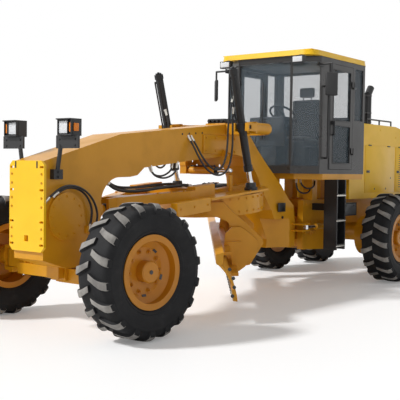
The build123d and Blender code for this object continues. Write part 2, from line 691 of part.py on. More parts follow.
# Articulation cylinders beside the hitch
for side, way in sides:
    with BuildPart() as hitch_barrel:
        bar((behind(4910), way * hitch_cylinder_y, 870), (behind(hinge_behind + 5), way * hitch_cylinder_y, 870), 42)
        bar((behind(4965), way * hitch_cylinder_y, 835 + swing), (behind(4965), way * hitch_cylinder_y, 905 - swing), 40)
        block((behind(4965), behind(4900)), (way * (hitch_cylinder_y - 30), way * (hitch_cylinder_y + 30)), (845, 895))
        bar((behind(4965), way * hitch_cylinder_y, 830), (behind(4965), way * hitch_cylinder_y, 910), 20 + running, Mode.SUBTRACT)
        bar((behind(4900), way * hitch_cylinder_y, 870), (behind(hinge_behind + 4), way * hitch_cylinder_y, 870),
            22 + running, Mode.SUBTRACT)
    save(hitch_barrel, f"hitch_barrel_{side}")
    with BuildPart() as hitch_rod:
        bar((behind(4688), way * hitch_cylinder_y, 870), (behind(4230), way * hitch_cylinder_y, 870), 22)
        bar((behind(4195), way * hitch_cylinder_y, 841), (behind(4195), way * hitch_cylinder_y, 899), 38)
    save(hitch_rod, f"hitch_rod_{side}")

# Rear axle with the two tandem cases and their wheel spindles
with BuildPart() as tandem_axle:
    bar((behind(wheelbase), -case_inner, case_height), (behind(wheelbase), case_inner, case_height), 165)
    for way in (1, -1):
        with BuildSketch(Plane.XZ.offset(-max(way * case_inner, way * case_outer))):
            with Locations((behind(wheelbase), case_height)):
                SlotCenterToCenter(tandem_spacing, 2 * case_radius)
        extrude(amount=case_outer - case_inner)
        for shift in (tandem_spacing / 2, -tandem_spacing / 2):
            x = behind(wheelbase) + shift
            bar((x, way * (case_outer - 1), tyre_radius), (x, way * (rear_track / 2 - 66), tyre_radius), spindle_radius + 25)
            bar((x, way * (case_outer - 1), tyre_radius), (x, way * (rear_track / 2 + spindle_depth - 5), tyre_radius), spindle_radius)
        block((behind(wheelbase + 150), behind(wheelbase - 150)), (way * rail_inner, way * rail_outer), (case_height, rail_bottom))
save(tandem_axle, "tandem_axle")

# Engine, as one plain block on the rails
with BuildPart() as engine_block:
    block((behind(7250), behind(5950)), (-330, 330), (rail_top, 2080))
save(engine_block, "engine_block")

# Hood: a shell open below, with a rear opening for its grille
hood_outline = ((behind(hood_front_behind), rail_top), (behind(hood_front_behind), hood_front_top),
                (behind(7000), hood_front_top), (behind(hood_rear_behind), hood_rear_top),
                (behind(hood_rear_behind), rail_top))
hood_inside = ((behind(hood_front_behind + hood_wall), rail_top - 1),
               (behind(hood_front_behind + hood_wall), hood_front_top - hood_wall),
               (behind(7000), hood_front_top - hood_wall),
               (behind(hood_rear_behind - hood_wall), hood_rear_top - hood_wall),
               (behind(hood_rear_behind - hood_wall), rail_top - 1))
grille_low, grille_high, grille_half = rail_top + 120, hood_rear_top - 120, hood_half - 90
with BuildPart() as hood:
    side_plate(hood_outline, -hood_half, hood_half)
    side_plate(hood_inside, -hood_half + hood_wall, hood_half - hood_wall, Mode.SUBTRACT)
    block((behind(hood_rear_behind + 1), behind(hood_rear_behind - hood_wall - 1)),
          (-grille_half, grille_half), (grille_low, grille_high), Mode.SUBTRACT)
save(hood, "hood")

# Rear grille of level slats in a frame
with BuildPart() as rear_grille:
    front, rear = behind(hood_rear_behind - hood_wall), behind(hood_rear_behind)
    half, low, high = grille_half - seat, grille_low + seat, grille_high - seat
    for y in (-half, half - 30, -15):
        block((rear, front), (y, y + 30), (low, high))
    step = (high - low - slat_high) / (slat_count - 1)
    for i in range(slat_count):
        block((rear, front), (-half, half), (low + i * step, low + i * step + slat_high))
save(rear_grille, "rear_grille")

# Cab: floor, walls with window openings, doors, roof, panes
front_x, rear_x = behind(cab_front_behind), behind(cab_rear_behind)
footprint = [(front_x, cab_front_half), (behind(cab_corner_behind), cab_half), (rear_x, cab_half),
             (rear_x, -cab_half), (behind(cab_corner_behind), -cab_half), (front_x, -cab_front_half)]
corner_from = Vector(front_x, cab_front_half)
corner_to = Vector(behind(cab_corner_behind), cab_half)
corner_along = corner_to - corner_from
corner_middle = (corner_from + corner_to) / 2
corner_pane = corner_along.length - 30


# The upright plane of the slanted corner window on one side
def corner_plane(way):
    return Plane(origin=(corner_middle.X, way * corner_middle.Y, (sill_high + glass_top) / 2),
                 x_dir=(corner_along.X, way * corner_along.Y, 0), z_dir=(corner_along.Y, -way * corner_along.X, 0))


with BuildPart() as cab_shell:
    plan_plate(footprint, cab_floor - 30, cab_roof)
    with BuildSketch(Plane.XY.offset(cab_floor)):
        with BuildLine():
            Polyline(*footprint, close=True)
        make_face()
        offset(amount=-cab_wall, kind=Kind.INTERSECTION, mode=Mode.REPLACE)
    extrude(amount=cab_roof - cab_floor, mode=Mode.SUBTRACT)
    block((front_x - cab_wall - 1, front_x + 1), (-front_pane_half, front_pane_half),
          (sill_high, glass_top), Mode.SUBTRACT)
    block((rear_x - 1, rear_x + cab_wall + 1), (-rear_pane_half, rear_pane_half),
          (rear_pane_low, glass_top), Mode.SUBTRACT)
    for way in (1, -1):
        low, high = sorted((way * (cab_half - cab_wall - 1), way * (cab_half + 1)))
        block((behind(door_rear_behind), behind(door_front_behind)), (low, high),
              (door_low, door_high), Mode.SUBTRACT)
        block((behind(side_pane_behind[0]), behind(side_pane_behind[1])), (low, high),
              (side_pane_low, glass_top), Mode.SUBTRACT)
        with Locations(corner_plane(way).location):
            Box(corner_pane, glass_top - sill_high, 3 * cab_wall, mode=Mode.SUBTRACT)
    # Hinge pins of the doors on brackets behind the openings
    for way in (1, -1):
        for z in hinge_heights:
            y = way * (cab_half + hinge_out)
            low, high = sorted((way * (cab_half - 5), way * (cab_half + hinge_out + hinge_knuckle)))
            block((door_hinge_x - 70, door_hinge_x - 16), (low, high), (z - 60, z - 40))
            block((door_hinge_x - 30, door_hinge_x), (y - hinge_knuckle, y + hinge_knuckle), (z - 60, z - 40))
            bar((door_hinge_x, y, z - 60), (door_hinge_x, y, z - 40), hinge_knuckle)
            bar((door_hinge_x, y, z - 60), (door_hinge_x, y, z + 38), hinge_pin)
save(cab_shell, "cab_shell")

with BuildPart() as cab_base:
    plan_plate(((behind(3900), 430), (behind(4080), cab_half), (behind(5300), cab_half), (behind(5300), -cab_half),
                (behind(4080), -cab_half), (behind(3900), -430)), cab_floor - 110, cab_floor - 30)
    for way in (1, -1):
        for a, b in ((4480, 4620), (5000, 5140)):
            block((behind(b), behind(a)), (way * rail_inner, way * (rail_outer + 60)), (rail_top, cab_floor - 110))
save(cab_base, "cab_base")

with BuildPart() as cab_roof_slab:
    with BuildSketch(Plane.XY.offset(cab_roof)):
        with Locations((behind(roof_behind), 0)):
            RectangleRounded(*roof_size, roof_corner)
    extrude(amount=roof_thick, taper=roof_taper)
save(cab_roof_slab, "cab_roof")

with BuildPart() as cab_glass:
    mid = cab_wall / 2
    block((front_x - mid - pane / 2, front_x - mid + pane / 2),
          (-front_pane_half + seat, front_pane_half - seat), (sill_high + seat, glass_top - seat))
    block((rear_x + mid - pane / 2, rear_x + mid + pane / 2),
          (-rear_pane_half + seat, rear_pane_half - seat), (rear_pane_low + seat, glass_top - seat))
    for way in (1, -1):
        y = way * (cab_half - mid)
        block((behind(side_pane_behind[0]) + seat, behind(side_pane_behind[1]) - seat),
              (y - pane / 2, y + pane / 2), (side_pane_low + seat, glass_top - seat))
        with Locations(corner_plane(way).location * Location((0, 0, -mid))):
            Box(corner_pane - 2 * seat, glass_top - sill_high - 2 * seat, pane)
save(cab_glass, "cab_glass")

for side, way in sides:
    y_out, y_in = way * cab_half, way * (cab_half - cab_wall)
    hinge_y = way * (cab_half + hinge_out)
    x0, x1 = behind(door_rear_behind) + door_gap, behind(door_front_behind) - door_gap
    with BuildPart() as door:
        block((x0, x1), (y_in, y_out), (door_low + door_gap, door_high - door_gap))
        for low, high in door_windows:
            block((x0 + door_stile, x1 - door_stile), (y_in - way, y_out + way), (low, high), Mode.SUBTRACT)
        for z in hinge_heights:
            bar((door_hinge_x, hinge_y, z - 39.7), (door_hinge_x, hinge_y, z + 40), 15)
            block((door_hinge_x, door_hinge_x + 60), (y_out - way, hinge_y + way * 5), (z - 39.7, z + 40))
            bar((door_hinge_x, hinge_y, z - 41), (door_hinge_x, hinge_y, z + 41),
                hinge_pin + running, Mode.SUBTRACT)
    save(door, f"door_{side}")
    with BuildPart() as door_glass:
        y = way * (cab_half - cab_wall / 2)
        for low, high in door_windows:
            block((x0 + door_stile + seat, x1 - door_stile - seat), (y - pane / 2, y + pane / 2),
                  (low + seat, high - seat))
    save(door_glass, f"door_glass_{side}")

# Seat and steering console
with BuildPart() as cab_seat:
    block((behind(4950), behind(4500)), (-seat_half, seat_half), (cab_floor + 380, cab_floor + seat_high))
    block((behind(5030), behind(4930)), (-seat_half, seat_half), (cab_floor + 420, cab_floor + 1080))
    block((behind(4850), behind(4600)), (-120, 120), (cab_floor, cab_floor + 380))
save(cab_seat, "cab_seat")
with BuildPart() as cab_console:
    block((behind(4180), behind(3900)), (-130, 130), (cab_floor, cab_floor + 650))
    block((behind(4240), behind(3880)), (-260, 260), (cab_floor + 650, cab_floor + 720))
    bar((behind(4180), 0, cab_floor + 715), (behind(4260), 0, cab_floor + 830), 25)
    with Locations(Location((behind(4265), 0, cab_floor + 840), (0, -wheel_tilt, 0))):
        Torus(190, 15)
        Cylinder(30, 20)
        Box(380, 30, 16)
save(cab_console, "cab_console")

# Steps in front of the tandem wheels, with the boxes behind them
for side, way in sides:
    with BuildPart() as steps:
        step_rear, step_front = behind(step_behind[0]), behind(step_behind[1])
        y0, y1 = way * step_half[0], way * step_half[1]
        for x in (step_rear, step_front - 30):
            block((x, x + 30), (y0, y1), (step_low, cab_floor - 110))
        for z in step_heights:
            block((step_rear, step_front), (y0, y1), (z, z + step_thick))
        block((step_rear, step_front), (y0, y0 + way * 20), (step_low, cab_floor - 110))
        block((behind(5000), step_rear), (way * 550, way * 860), (1030, 1220))
        block((behind(4690), behind(4590)), (way * rail_outer, way * 550), (1100, 1200))
    save(steps, f"steps_{side}")

# Mirrors, turned in towards the driver, on their arms
with BuildPart() as mirrors:
    for way in (1, -1):
        x, y = behind(mirror_behind), way * mirror_half
        with Locations(Location((x, y, mirror_low + mirror_size[2] / 2), (0, 0, way * mirror_turn))):
            Box(*mirror_size)
        bar((x, y, mirror_low + mirror_size[2] - 20), (x, y, mirror_arm), 14)
        bar((x, y + way * 6, mirror_arm), (x, way * (cab_half - 30), mirror_arm), 14)
        block((behind(4050), behind(3925)), (way * cab_half, way * (cab_half + 14)),
              (mirror_arm - 30, mirror_arm + 30))
save(mirrors, "mirrors")

with BuildPart() as exhaust:
    x, outlet_x = behind(exhaust_behind), behind(exhaust_behind + 100)
    bar((x, exhaust_side, hood_front_top), (x, exhaust_side, exhaust_top), exhaust_radius)
    bar((x, exhaust_side, exhaust_top - 20), (outlet_x, exhaust_side, exhaust_top + 100), exhaust_radius - 3)
save(exhaust, "exhaust")

with BuildPart() as work_lamps:
    for way in (1, -1):
        block((behind(3720), behind(3650)), (way * work_lamp_half[0], way * work_lamp_half[1]),
              (work_lamp_low, work_lamp_low + 100))
        block((behind(3760), behind(3720)), (way * 590, way * 630), (work_lamp_low + 50, cab_roof))
save(work_lamps, "work_lamps")
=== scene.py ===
import json
from math import cos, sin, pi, radians
import bpy
import bmesh
from mathutils import Matrix, Vector


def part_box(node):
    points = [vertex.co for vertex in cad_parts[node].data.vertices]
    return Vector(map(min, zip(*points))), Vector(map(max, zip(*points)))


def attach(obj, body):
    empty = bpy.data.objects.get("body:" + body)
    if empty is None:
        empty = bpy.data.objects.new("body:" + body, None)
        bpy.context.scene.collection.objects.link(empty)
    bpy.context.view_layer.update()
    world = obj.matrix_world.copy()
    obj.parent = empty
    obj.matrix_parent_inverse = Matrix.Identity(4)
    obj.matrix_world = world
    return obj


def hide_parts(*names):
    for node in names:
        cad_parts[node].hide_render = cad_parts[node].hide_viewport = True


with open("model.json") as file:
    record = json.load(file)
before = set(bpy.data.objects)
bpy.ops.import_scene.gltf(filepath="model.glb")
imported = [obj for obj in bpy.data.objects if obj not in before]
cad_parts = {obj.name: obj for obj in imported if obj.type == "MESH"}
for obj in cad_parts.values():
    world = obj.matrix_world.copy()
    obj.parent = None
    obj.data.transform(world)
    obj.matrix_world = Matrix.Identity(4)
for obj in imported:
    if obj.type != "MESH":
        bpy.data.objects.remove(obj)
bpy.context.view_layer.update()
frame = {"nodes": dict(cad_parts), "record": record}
print("frame loaded")

# places that come from the CAD, in metres
ballPoint = Vector((3.25, 0, 1.215))
drawbarTilt = radians(5)
circleReach = 1.967
circleTurn = radians(38.5)
drawbarFrame = Matrix.Translation(ballPoint) @ Matrix.Rotation(drawbarTilt, 4, "Y")
circleFrame = drawbarFrame @ Matrix.Translation((-circleReach, 0, 0)) @ Matrix.Rotation(circleTurn, 4, "Z")
sides = (("left", 1), ("right", -1))
ways = (1, -1)


def newMaterial(name, colour, roughness, metallic=0.0, coat=0.0):
    material = bpy.data.materials.new(name)
    material.use_nodes = True
    shader = material.node_tree.nodes["Principled BSDF"]
    shader.inputs["Base Color"].default_value = (*colour, 1)
    shader.inputs["Roughness"].default_value = roughness
    shader.inputs["Metallic"].default_value = metallic
    shader.inputs["Coat Weight"].default_value = coat
    return material, material.node_tree, shader


def addNode(tree, kind, **values):
    node = tree.nodes.new(kind)
    for key, value in values.items():
        if key in node.inputs:
            node.inputs[key].default_value = value
        else:
            setattr(node, key, value)
    return node


def patternOn(tree, kind, **values):
    place = addNode(tree, "ShaderNodeTexCoord")
    pattern = addNode(tree, kind, **values)
    tree.links.new(place.outputs["Object"], pattern.inputs["Vector"])
    return pattern


def noiseOn(tree, scale, detail=4.0, roughness=0.55):
    return patternOn(tree, "ShaderNodeTexNoise", Scale=scale, Detail=detail, Roughness=roughness)


def rampTo(target, tree, pattern, stops):
    ramp = tree.nodes.new("ShaderNodeValToRGB")
    while len(ramp.color_ramp.elements) < len(stops):
        ramp.color_ramp.elements.new(0.5)
    for element, (at, colour) in zip(ramp.color_ramp.elements, stops):
        element.position = at
        element.color = (*colour, 1)
    tree.links.new(pattern.outputs["Fac"], ramp.inputs["Fac"])
    tree.links.new(ramp.outputs["Color"], target)


def bumpFrom(tree, shader, pattern, strength, distance):
    bump = addNode(tree, "ShaderNodeBump", Strength=strength, Distance=distance)
    tree.links.new(pattern.outputs["Fac"], bump.inputs["Height"])
    tree.links.new(bump.outputs["Normal"], shader.inputs["Normal"])


def paintMaterial(name, colour, dirt, roughness=0.38, scale=3.0, coat=0.2):
    material, tree, shader = newMaterial(name, colour, roughness, 0.0, coat)
    shader.inputs["Coat Roughness"].default_value = 0.18
    shader.inputs["Specular IOR Level"].default_value = 0.3
    broad = noiseOn(tree, scale, 6.0)
    darker = tuple(c * (1 - dirt) for c in colour)
    lighter = tuple(min(1, c * (1 + dirt * 0.5)) for c in colour)
    stops = ((0.25, darker), (0.5, colour), (0.8, lighter))
    rampTo(shader.inputs["Base Color"], tree, broad, stops)
    fine = noiseOn(tree, 220.0, 2.0)
    dull, shiny = (roughness + 0.1,) * 3, (roughness - 0.06,) * 3
    rampTo(shader.inputs["Roughness"], tree, broad, ((0.3, dull), (0.7, shiny)))
    bumpFrom(tree, shader, fine, 0.05, 0.0008)
    return material


# each paint: colour, how much the dirt darkens it, roughness, size of the dirt and clear coat
paints = {
    "ochrePaint": ((0.66, 0.3, 0.008), 0.14),
    "brightPaint": ((0.95, 0.56, 0.01), 0.08),
    "rimPaint": ((0.52, 0.2, 0.008), 0.16),
    "cabPaint": ((0.026, 0.024, 0.023), 0.2, 0.3),
    "blackPaint": ((0.012, 0.012, 0.013), 0.25, 0.42),
    "darkSteel": ((0.05, 0.05, 0.052), 0.2, 0.4),
    "ironGrey": ((0.12, 0.12, 0.12), 0.25, 0.6, 3.0, 0),
    "redLens": ((0.35, 0.01, 0.008), 0.1, 0.2),
    "amberLens": ((0.8, 0.22, 0.01), 0.1, 0.2),
}
finishes = {name: paintMaterial(name, *values) for name, values in paints.items()}


def plasticMaterial(name, colour, roughness):
    material, tree, shader = newMaterial(name, colour, roughness)
    grain = noiseOn(tree, 350.0, 3.0)
    bumpFrom(tree, shader, grain, 0.12, 0.0006)
    return material


def metalMaterial(name, colour, roughness, streak=60.0):
    material, tree, shader = newMaterial(name, colour, roughness, 1.0)
    grain = noiseOn(tree, streak, 5.0)
    stops = ((0.3, (roughness,) * 3), (0.7, (roughness + 0.12,) * 3))
    rampTo(shader.inputs["Roughness"], tree, grain, stops)
    return material


def rubberMaterial(name, dark, middle, pale):
    material, tree, shader = newMaterial(name, middle, 0.72)
    shader.inputs["Specular IOR Level"].default_value = 0.25
    dust = noiseOn(tree, 5.0, 8.0, 0.65)
    stops = ((0.35, dark), (0.55, middle), (0.8, pale))
    rampTo(shader.inputs["Base Color"], tree, dust, stops)
    grain = noiseOn(tree, 160.0, 4.0)
    bumpFrom(tree, shader, grain, 0.25, 0.0015)
    return material


def glassMaterial():
    material, tree, shader = newMaterial("windowGlass", (0.13, 0.18, 0.22), 0.03)
    shader.inputs["Alpha"].default_value = 0.2
    shader.inputs["Specular IOR Level"].default_value = 0.7
    haze = noiseOn(tree, 2.0, 3.0)
    rampTo(shader.inputs["Roughness"], tree, haze, ((0.3, (0.02,) * 3), (0.8, (0.08,) * 3)))
    material.surface_render_method = "BLENDED"
    return material


def clothMaterial():
    material, tree, shader = newMaterial("seatCloth", (0.018, 0.018, 0.02), 0.85)
    shader.inputs["Sheen Weight"].default_value = 0.4
    weave = patternOn(tree, "ShaderNodeTexWave", Scale=180.0, Distortion=0.6)
    bumpFrom(tree, shader, weave, 0.3, 0.001)
    return material


def lensMaterial():
    material, tree, shader = newMaterial("lampLens", (0.78, 0.8, 0.82), 0.12, 0.0, 0.8)
    ribs = patternOn(tree, "ShaderNodeTexWave", Scale=22.0, Distortion=0.0, bands_direction="Y")
    stops = ((0.2, (0.55, 0.57, 0.6)), (0.7, (0.92, 0.93, 0.94)))
    rampTo(shader.inputs["Base Color"], tree, ribs, stops)
    bumpFrom(tree, shader, ribs, 0.6, 0.003)
    return material


# the other finishes: how each is made, and with which values
others = {
    "blackPlastic": (plasticMaterial, (0.016, 0.016, 0.017), 0.5),
    "hoseRubber": (plasticMaterial, (0.012, 0.012, 0.013), 0.45),
    "chrome": (metalMaterial, (0.72, 0.73, 0.74), 0.12),
    "zinc": (metalMaterial, (0.62, 0.6, 0.55), 0.32),
    "paleEdge": (metalMaterial, (0.55, 0.47, 0.33), 0.45, 25.0),
    "tyreRubber": (rubberMaterial, (0.008, 0.008, 0.009), (0.013, 0.013, 0.014), (0.026, 0.026, 0.026)),
    # pale rubber for the bar tops: partly dust, partly a painted highlight
    "dustAndHighlightRubber": (rubberMaterial, (0.17, 0.16, 0.15), (0.29, 0.275, 0.255), (0.48, 0.46, 0.43)),
}
for name, (made, *values) in others.items():
    finishes[name] = made(name, *values)
finishes["windowGlass"] = glassMaterial()
finishes["seatCloth"] = clothMaterial()
finishes["lampLens"] = lensMaterial()
slotFinish = {
    "yellow_paint": "ochrePaint", "bright_yellow": "brightPaint", "rim_paint": "rimPaint",
    "tyre": "tyreRubber", "cab_bronze": "cabPaint", "black_metal": "blackPaint", "black_steel": "darkSteel",
    "black_plastic": "blackPlastic", "lamp_black": "blackPlastic", "rod_chrome": "chrome",
    "engine_iron": "ironGrey", "window_glass": "windowGlass", "seat_fabric": "seatCloth",
}
for subpart in frame["record"]["subparts"]:
    mesh = frame["nodes"][subpart["node"]].data
    mesh.materials.clear()
    mesh.materials.append(finishes[slotFinish[subpart["material_slot"]]])
for node in ("hood", "cab_roof"):
    frame["nodes"][node].data.materials[0] = finishes["brightPaint"]
print("finishes set")


# shapes the pieces are built from
def addBox(bm, low, high, place=None, edge=0.0):
    low, high = Vector(low), Vector(high)
    made = bmesh.ops.create_cube(bm, size=1)["verts"]
    bmesh.ops.scale(bm, vec=high - low, verts=made)
    bmesh.ops.translate(bm, vec=(low + high) / 2, verts=made)
    if edge:
        edges = list({e for v in made for e in v.link_edges})
        made = bmesh.ops.bevel(bm, geom=edges, offset=edge, segments=2, profile=0.5, affect="EDGES",
                               material=-1, clamp_overlap=True)["verts"]
    if place is not None:
        bmesh.ops.transform(bm, matrix=place, verts=made)


def addRod(bm, start, end, radius, count=20, endRadius=None, place=None):
    start, end = Vector(start), Vector(end)
    way = end - start
    turned = Matrix.Translation((start + end) / 2) @ way.to_track_quat("Z", "Y").to_matrix().to_4x4()
    if place is not None:
        turned = place @ turned
    bmesh.ops.create_cone(bm, cap_ends=True, segments=count, radius1=radius, depth=way.length,
                          radius2=radius if endRadius is None else endRadius, matrix=turned)


def addBolt(bm, at, way, radius, height, place=None):
    at, way = Vector(at), Vector(way).normalized()
    addRod(bm, at - way * 0.002, at + way * 0.004, radius * 1.45, 16, place=place)
    addRod(bm, at + way * 0.003, at + way * height, radius, 6, place=place)


# two corners of a box, or two ends of a rod, moved to the left or the right side
def onSide(way, ends):
    return [(x, way * y, z) for x, y, z in ends]


def addPlate(bm, outline, thickness, place):
    corners = [bm.verts.new((x, y, 0)) for x, y in outline]
    face = bm.faces.new(corners)
    pushed = bmesh.ops.extrude_face_region(bm, geom=[face])["geom"]
    moved = [v for v in pushed if isinstance(v, bmesh.types.BMVert)]
    bmesh.ops.translate(bm, vec=(0, 0, thickness), verts=moved)
    bmesh.ops.transform(bm, matrix=place, verts=corners + moved)


def turnedShape(profile, count, closed=False):
    bm = bmesh.new()
    corners = [bm.verts.new((r, 0, h)) for r, h in profile]
    pairs = list(zip(corners, corners[1:])) + ([(corners[-1], corners[0])] if closed else [])
    edges = [bm.edges.new(pair) for pair in pairs]
    bmesh.ops.spin(bm, geom=corners + edges, cent=(0, 0, 0), axis=(0, 0, 1), angle=2 * pi, steps=count,
                   use_merge=True)
    bmesh.ops.remove_doubles(bm, verts=bm.verts, dist=0.00002)
    bmesh.ops.recalc_face_normals(bm, faces=bm.faces)
    return bm


def asMesh(bm, name="shape"):
    mesh = bpy.data.meshes.new(name)
    bm.to_mesh(mesh)
    bm.free()
    return mesh


def addObject(name, data):
    made = bpy.data.objects.new(name, data)
    bpy.context.scene.collection.objects.link(made)
    return made


def stamp(bm, shape, places):
    for place in places:
        copy = shape.copy()
        copy.transform(place)
        if place.determinant() < 0:
            copy.flip_normals()
        bm.from_mesh(copy)
        bpy.data.meshes.remove(copy)


# a piece takes the finish of its slot, unless others are given
def makePiece(name, bm, slot, body, given=(), smoothAngle=35, recalc=True):
    if recalc:
        bmesh.ops.recalc_face_normals(bm, faces=bm.faces)
    mesh = asMesh(bm, name)
    for finish in given or (slotFinish[slot],):
        mesh.materials.append(finishes[finish])
    mesh.shade_smooth()
    mesh.set_sharp_from_angle(angle=radians(smoothAngle))
    piece = addObject(name, mesh)
    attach(piece, body)
    return piece


# spots round a circle
def ringSpots(count, radius, start=0.0):
    for i in range(count):
        angle = start + 2 * pi * i / count
        yield radius * cos(angle), radius * sin(angle)


# tyres: a turned carcass with bars that wrap over its shoulders
tyre = {
    "lugs": 18, "steps": 72, "bead": 0.3205, "toeIn": radians(-5.5), "smooth": 32,
    # the second rubber, on the bar tops, is partly dust and partly a painted highlight
    "rubber": ("tyreRubber", "dustAndHighlightRubber"),
    "barBevel": 0.09, "barCuts": 9, "barRoot": 0.003, "barFoot": 1.15, "barTaper": 0.3, "barMiddle": 0.64,
}
tyreProfile = [
    (tyre["bead"], 0.150), (0.368, 0.1555), (0.378, 0.163), (0.392, 0.180), (0.400, 0.188), (0.408, 0.190),
    (0.414, 0.187), (0.440, 0.200), (0.480, 0.2095), (0.520, 0.2135), (0.545, 0.2130), (0.552, 0.2150),
    (0.562, 0.2145), (0.568, 0.2090), (0.600, 0.2020), (0.622, 0.1880), (0.636, 0.1640), (0.641, 0.120),
    (0.643, 0.0),
]
# each station of a bar: along, radius, across, outward radial and axial parts, lift, half width, lead angle
barStations = (
    (0.00, 0.638, 0.004, 1.00, 0.00, 0.035, 0.032, 0.000),
    (0.45, 0.637, 0.100, 1.00, 0.02, 0.036, 0.035, 0.070),
    (0.66, 0.632, 0.156, 0.98, 0.20, 0.038, 0.042, 0.105),
    (0.78, 0.616, 0.185, 0.75, 0.66, 0.034, 0.046, 0.120),
    (0.90, 0.594, 0.202, 0.35, 0.94, 0.019, 0.044, 0.128),
    (1.00, 0.566, 0.207, 0.10, 0.99, 0.007, 0.038, 0.132),
)


def barPoint(along, across, lift):
    for low, high in zip(barStations, barStations[1:]):
        if along <= high[0] + 1e-6:
            share = (along - low[0]) / (high[0] - low[0])
            ends = zip(low[1:], high[1:])
            radius, side, nr, nz, height, half, lead = (a + (b - a) * share for a, b in ends)
            break
    rise = height * lift - tyre["barRoot"] * (1 - lift)  # the foot is sunk a little into the carcass
    radius += nr * rise
    side += nz * rise
    angle = lead + 2 * across * half * (tyre["barFoot"] - tyre["barTaper"] * lift) / tyre["barMiddle"]
    return Vector((radius * cos(angle), radius * sin(angle), side))


bm = bmesh.new()
bmesh.ops.create_cube(bm, size=1)
top = [e for e in bm.edges if all(v.co.z > 0 for v in e.verts)]
bmesh.ops.bevel(bm, geom=top, offset=tyre["barBevel"], segments=1, profile=0.5, affect="EDGES", material=-1)
longEdges = [e for e in bm.edges if abs(e.verts[0].co.x - e.verts[1].co.x) > 0.5]
bmesh.ops.subdivide_edges(bm, edges=longEdges, cuts=tyre["barCuts"], use_grid_fill=True)
for face in bm.faces:  # only the top of a bar, short of its shoulder end, takes the pale rubber: partly dust, partly a painted highlight
    middle = face.calc_center_median()
    face.material_index = 1 if middle.z > 0.45 and middle.x < 0.32 else 0
for vert in bm.verts:
    vert.co = barPoint(vert.co.x + 0.5, vert.co.y, vert.co.z + 0.5)
bmesh.ops.recalc_face_normals(bm, faces=bm.faces)
barShape = asMesh(bm)
wholeProfile = [(r, -h) for r, h in tyreProfile] + [(r, h) for r, h in reversed(tyreProfile[:-1])]
carcass = turnedShape(wholeProfile, tyre["steps"], True)
pitch = 2 * pi / tyre["lugs"]
flip = Matrix.Scale(-1, 4, (0, 0, 1))
stamp(carcass, barShape, [Matrix.Rotation(pitch * i, 4, "Z") for i in range(tyre["lugs"])])
stamp(carcass, barShape, [Matrix.Rotation(pitch * (i + 0.5), 4, "Z") @ flip for i in range(tyre["lugs"])])
tyreShape = asMesh(carcass)

# each wheel: name, side and the turn it rests at
wheels = [(f"front_{side}", way, tyre["toeIn"]) for side, way in sides]
wheels += [(f"{side}_tandem_{row}", way, 0) for side, way in sides for row in ("front", "back")]
wheelPlace = {}
for name, way, turn in wheels:
    low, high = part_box(f"tyre_{name}")
    middle = (Vector(low) + Vector(high)) / 2
    mirror = Matrix.Scale(way, 4, (0, 1, 0))
    upright = Matrix.Rotation(turn, 4, "Z") @ mirror @ Matrix.Rotation(-pi / 2, 4, "X")
    wheelPlace[name] = Matrix.Translation(middle) @ upright
    bm = bmesh.new()
    stamp(bm, tyreShape, [wheelPlace[name]])
    piece = makePiece(f"dressedTyre_{name}", bm, "tyre", f"wheel_{name}", tyre["rubber"], tyre["smooth"],
                      recalc=False)
    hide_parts(f"tyre_{name}")
print("tyres made")

# rims: nuts on washers with their stud ends, clips, the air valve and the hub plug
rim = {
    "nuts": 10, "nutCircle": 0.2, "face": 0.046,
    "nutStack": ((0, 0.004, 0.03, 20), (0.004, 0.024, 0.019, 6), (0.024, 0.034, 0.01, 12)),
    "clips": 5, "clipCircle": 0.268, "clipLean": radians(-31),
    "clip": ((-0.012, -0.026, 0.058), (0.012, 0.026, 0.0635)),
    "valve": ((0.288, 0.02, 0.08), (0.275, 0.02, 0.125)), "valveRadius": 0.006,
    "plug": ((0, 0, 0.149), (0, 0, 0.158)), "plugRadius": 0.022,
}
for name, place in wheelPlace.items():
    bm = bmesh.new()
    for x, y in ringSpots(rim["nuts"], rim["nutCircle"]):
        for low, high, radius, count in rim["nutStack"]:
            addRod(bm, (x, y, rim["face"] + low), (x, y, rim["face"] + high), radius, count, place=place)
    makePiece(f"wheelNuts_{name}", bm, "rim_paint", f"wheel_{name}")
    bm = bmesh.new()
    for i in range(rim["clips"]):
        angle = 2 * pi * (i + 0.25) / rim["clips"]
        at = Vector((rim["clipCircle"] * cos(angle), rim["clipCircle"] * sin(angle), 0.0))
        leaned = Matrix.Rotation(angle, 4, "Z") @ Matrix.Rotation(rim["clipLean"], 4, "Y")
        addBox(bm, *rim["clip"], place @ Matrix.Translation(at) @ leaned)
    addRod(bm, *rim["valve"], rim["valveRadius"], 10, place=place)
    addRod(bm, *rim["plug"], rim["plugRadius"], 6, place=place)
    makePiece(f"rimFittings_{name}", bm, "black_steel", f"wheel_{name}")
print("rims dressed")


# hoses: soft tubes on smooth lines, fixed at both ends in a crimped fitting
def makeHose(name, points, body, diameter):
    curve = bpy.data.curves.new(name, "CURVE")
    curve.dimensions = "3D"
    line = curve.splines.new("NURBS")
    line.points.add(len(points) - 1)
    for point, place in zip(line.points, points):
        point.co = (*place, 1)
    line.order_u = 3
    line.use_endpoint_u = True
    line.resolution_u = 10
    route = addObject(name, curve)
    measured = bpy.data.meshes.new_from_object(route)
    bpy.data.meshes.remove(measured)
    curve.bevel_depth = diameter / 2
    curve.bevel_resolution = 4
    curve.use_fill_caps = True
    curve.materials.append(finishes["hoseRubber"])
    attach(route, body)
    bm = bmesh.new()
    for end, inner in ((points[0], points[1]), (points[-1], points[-2])):
        end = Vector(end)
        way = (Vector(inner) - end).normalized()
        addRod(bm, end - way * 0.015, end + way * 0.05, diameter * 0.66, 16)
        addRod(bm, end - way * 0.03, end - way * 0.012, diameter * 0.85, 6)
    makePiece(f"{name}Fittings", bm, "rod_chrome", body, ("zinc",))


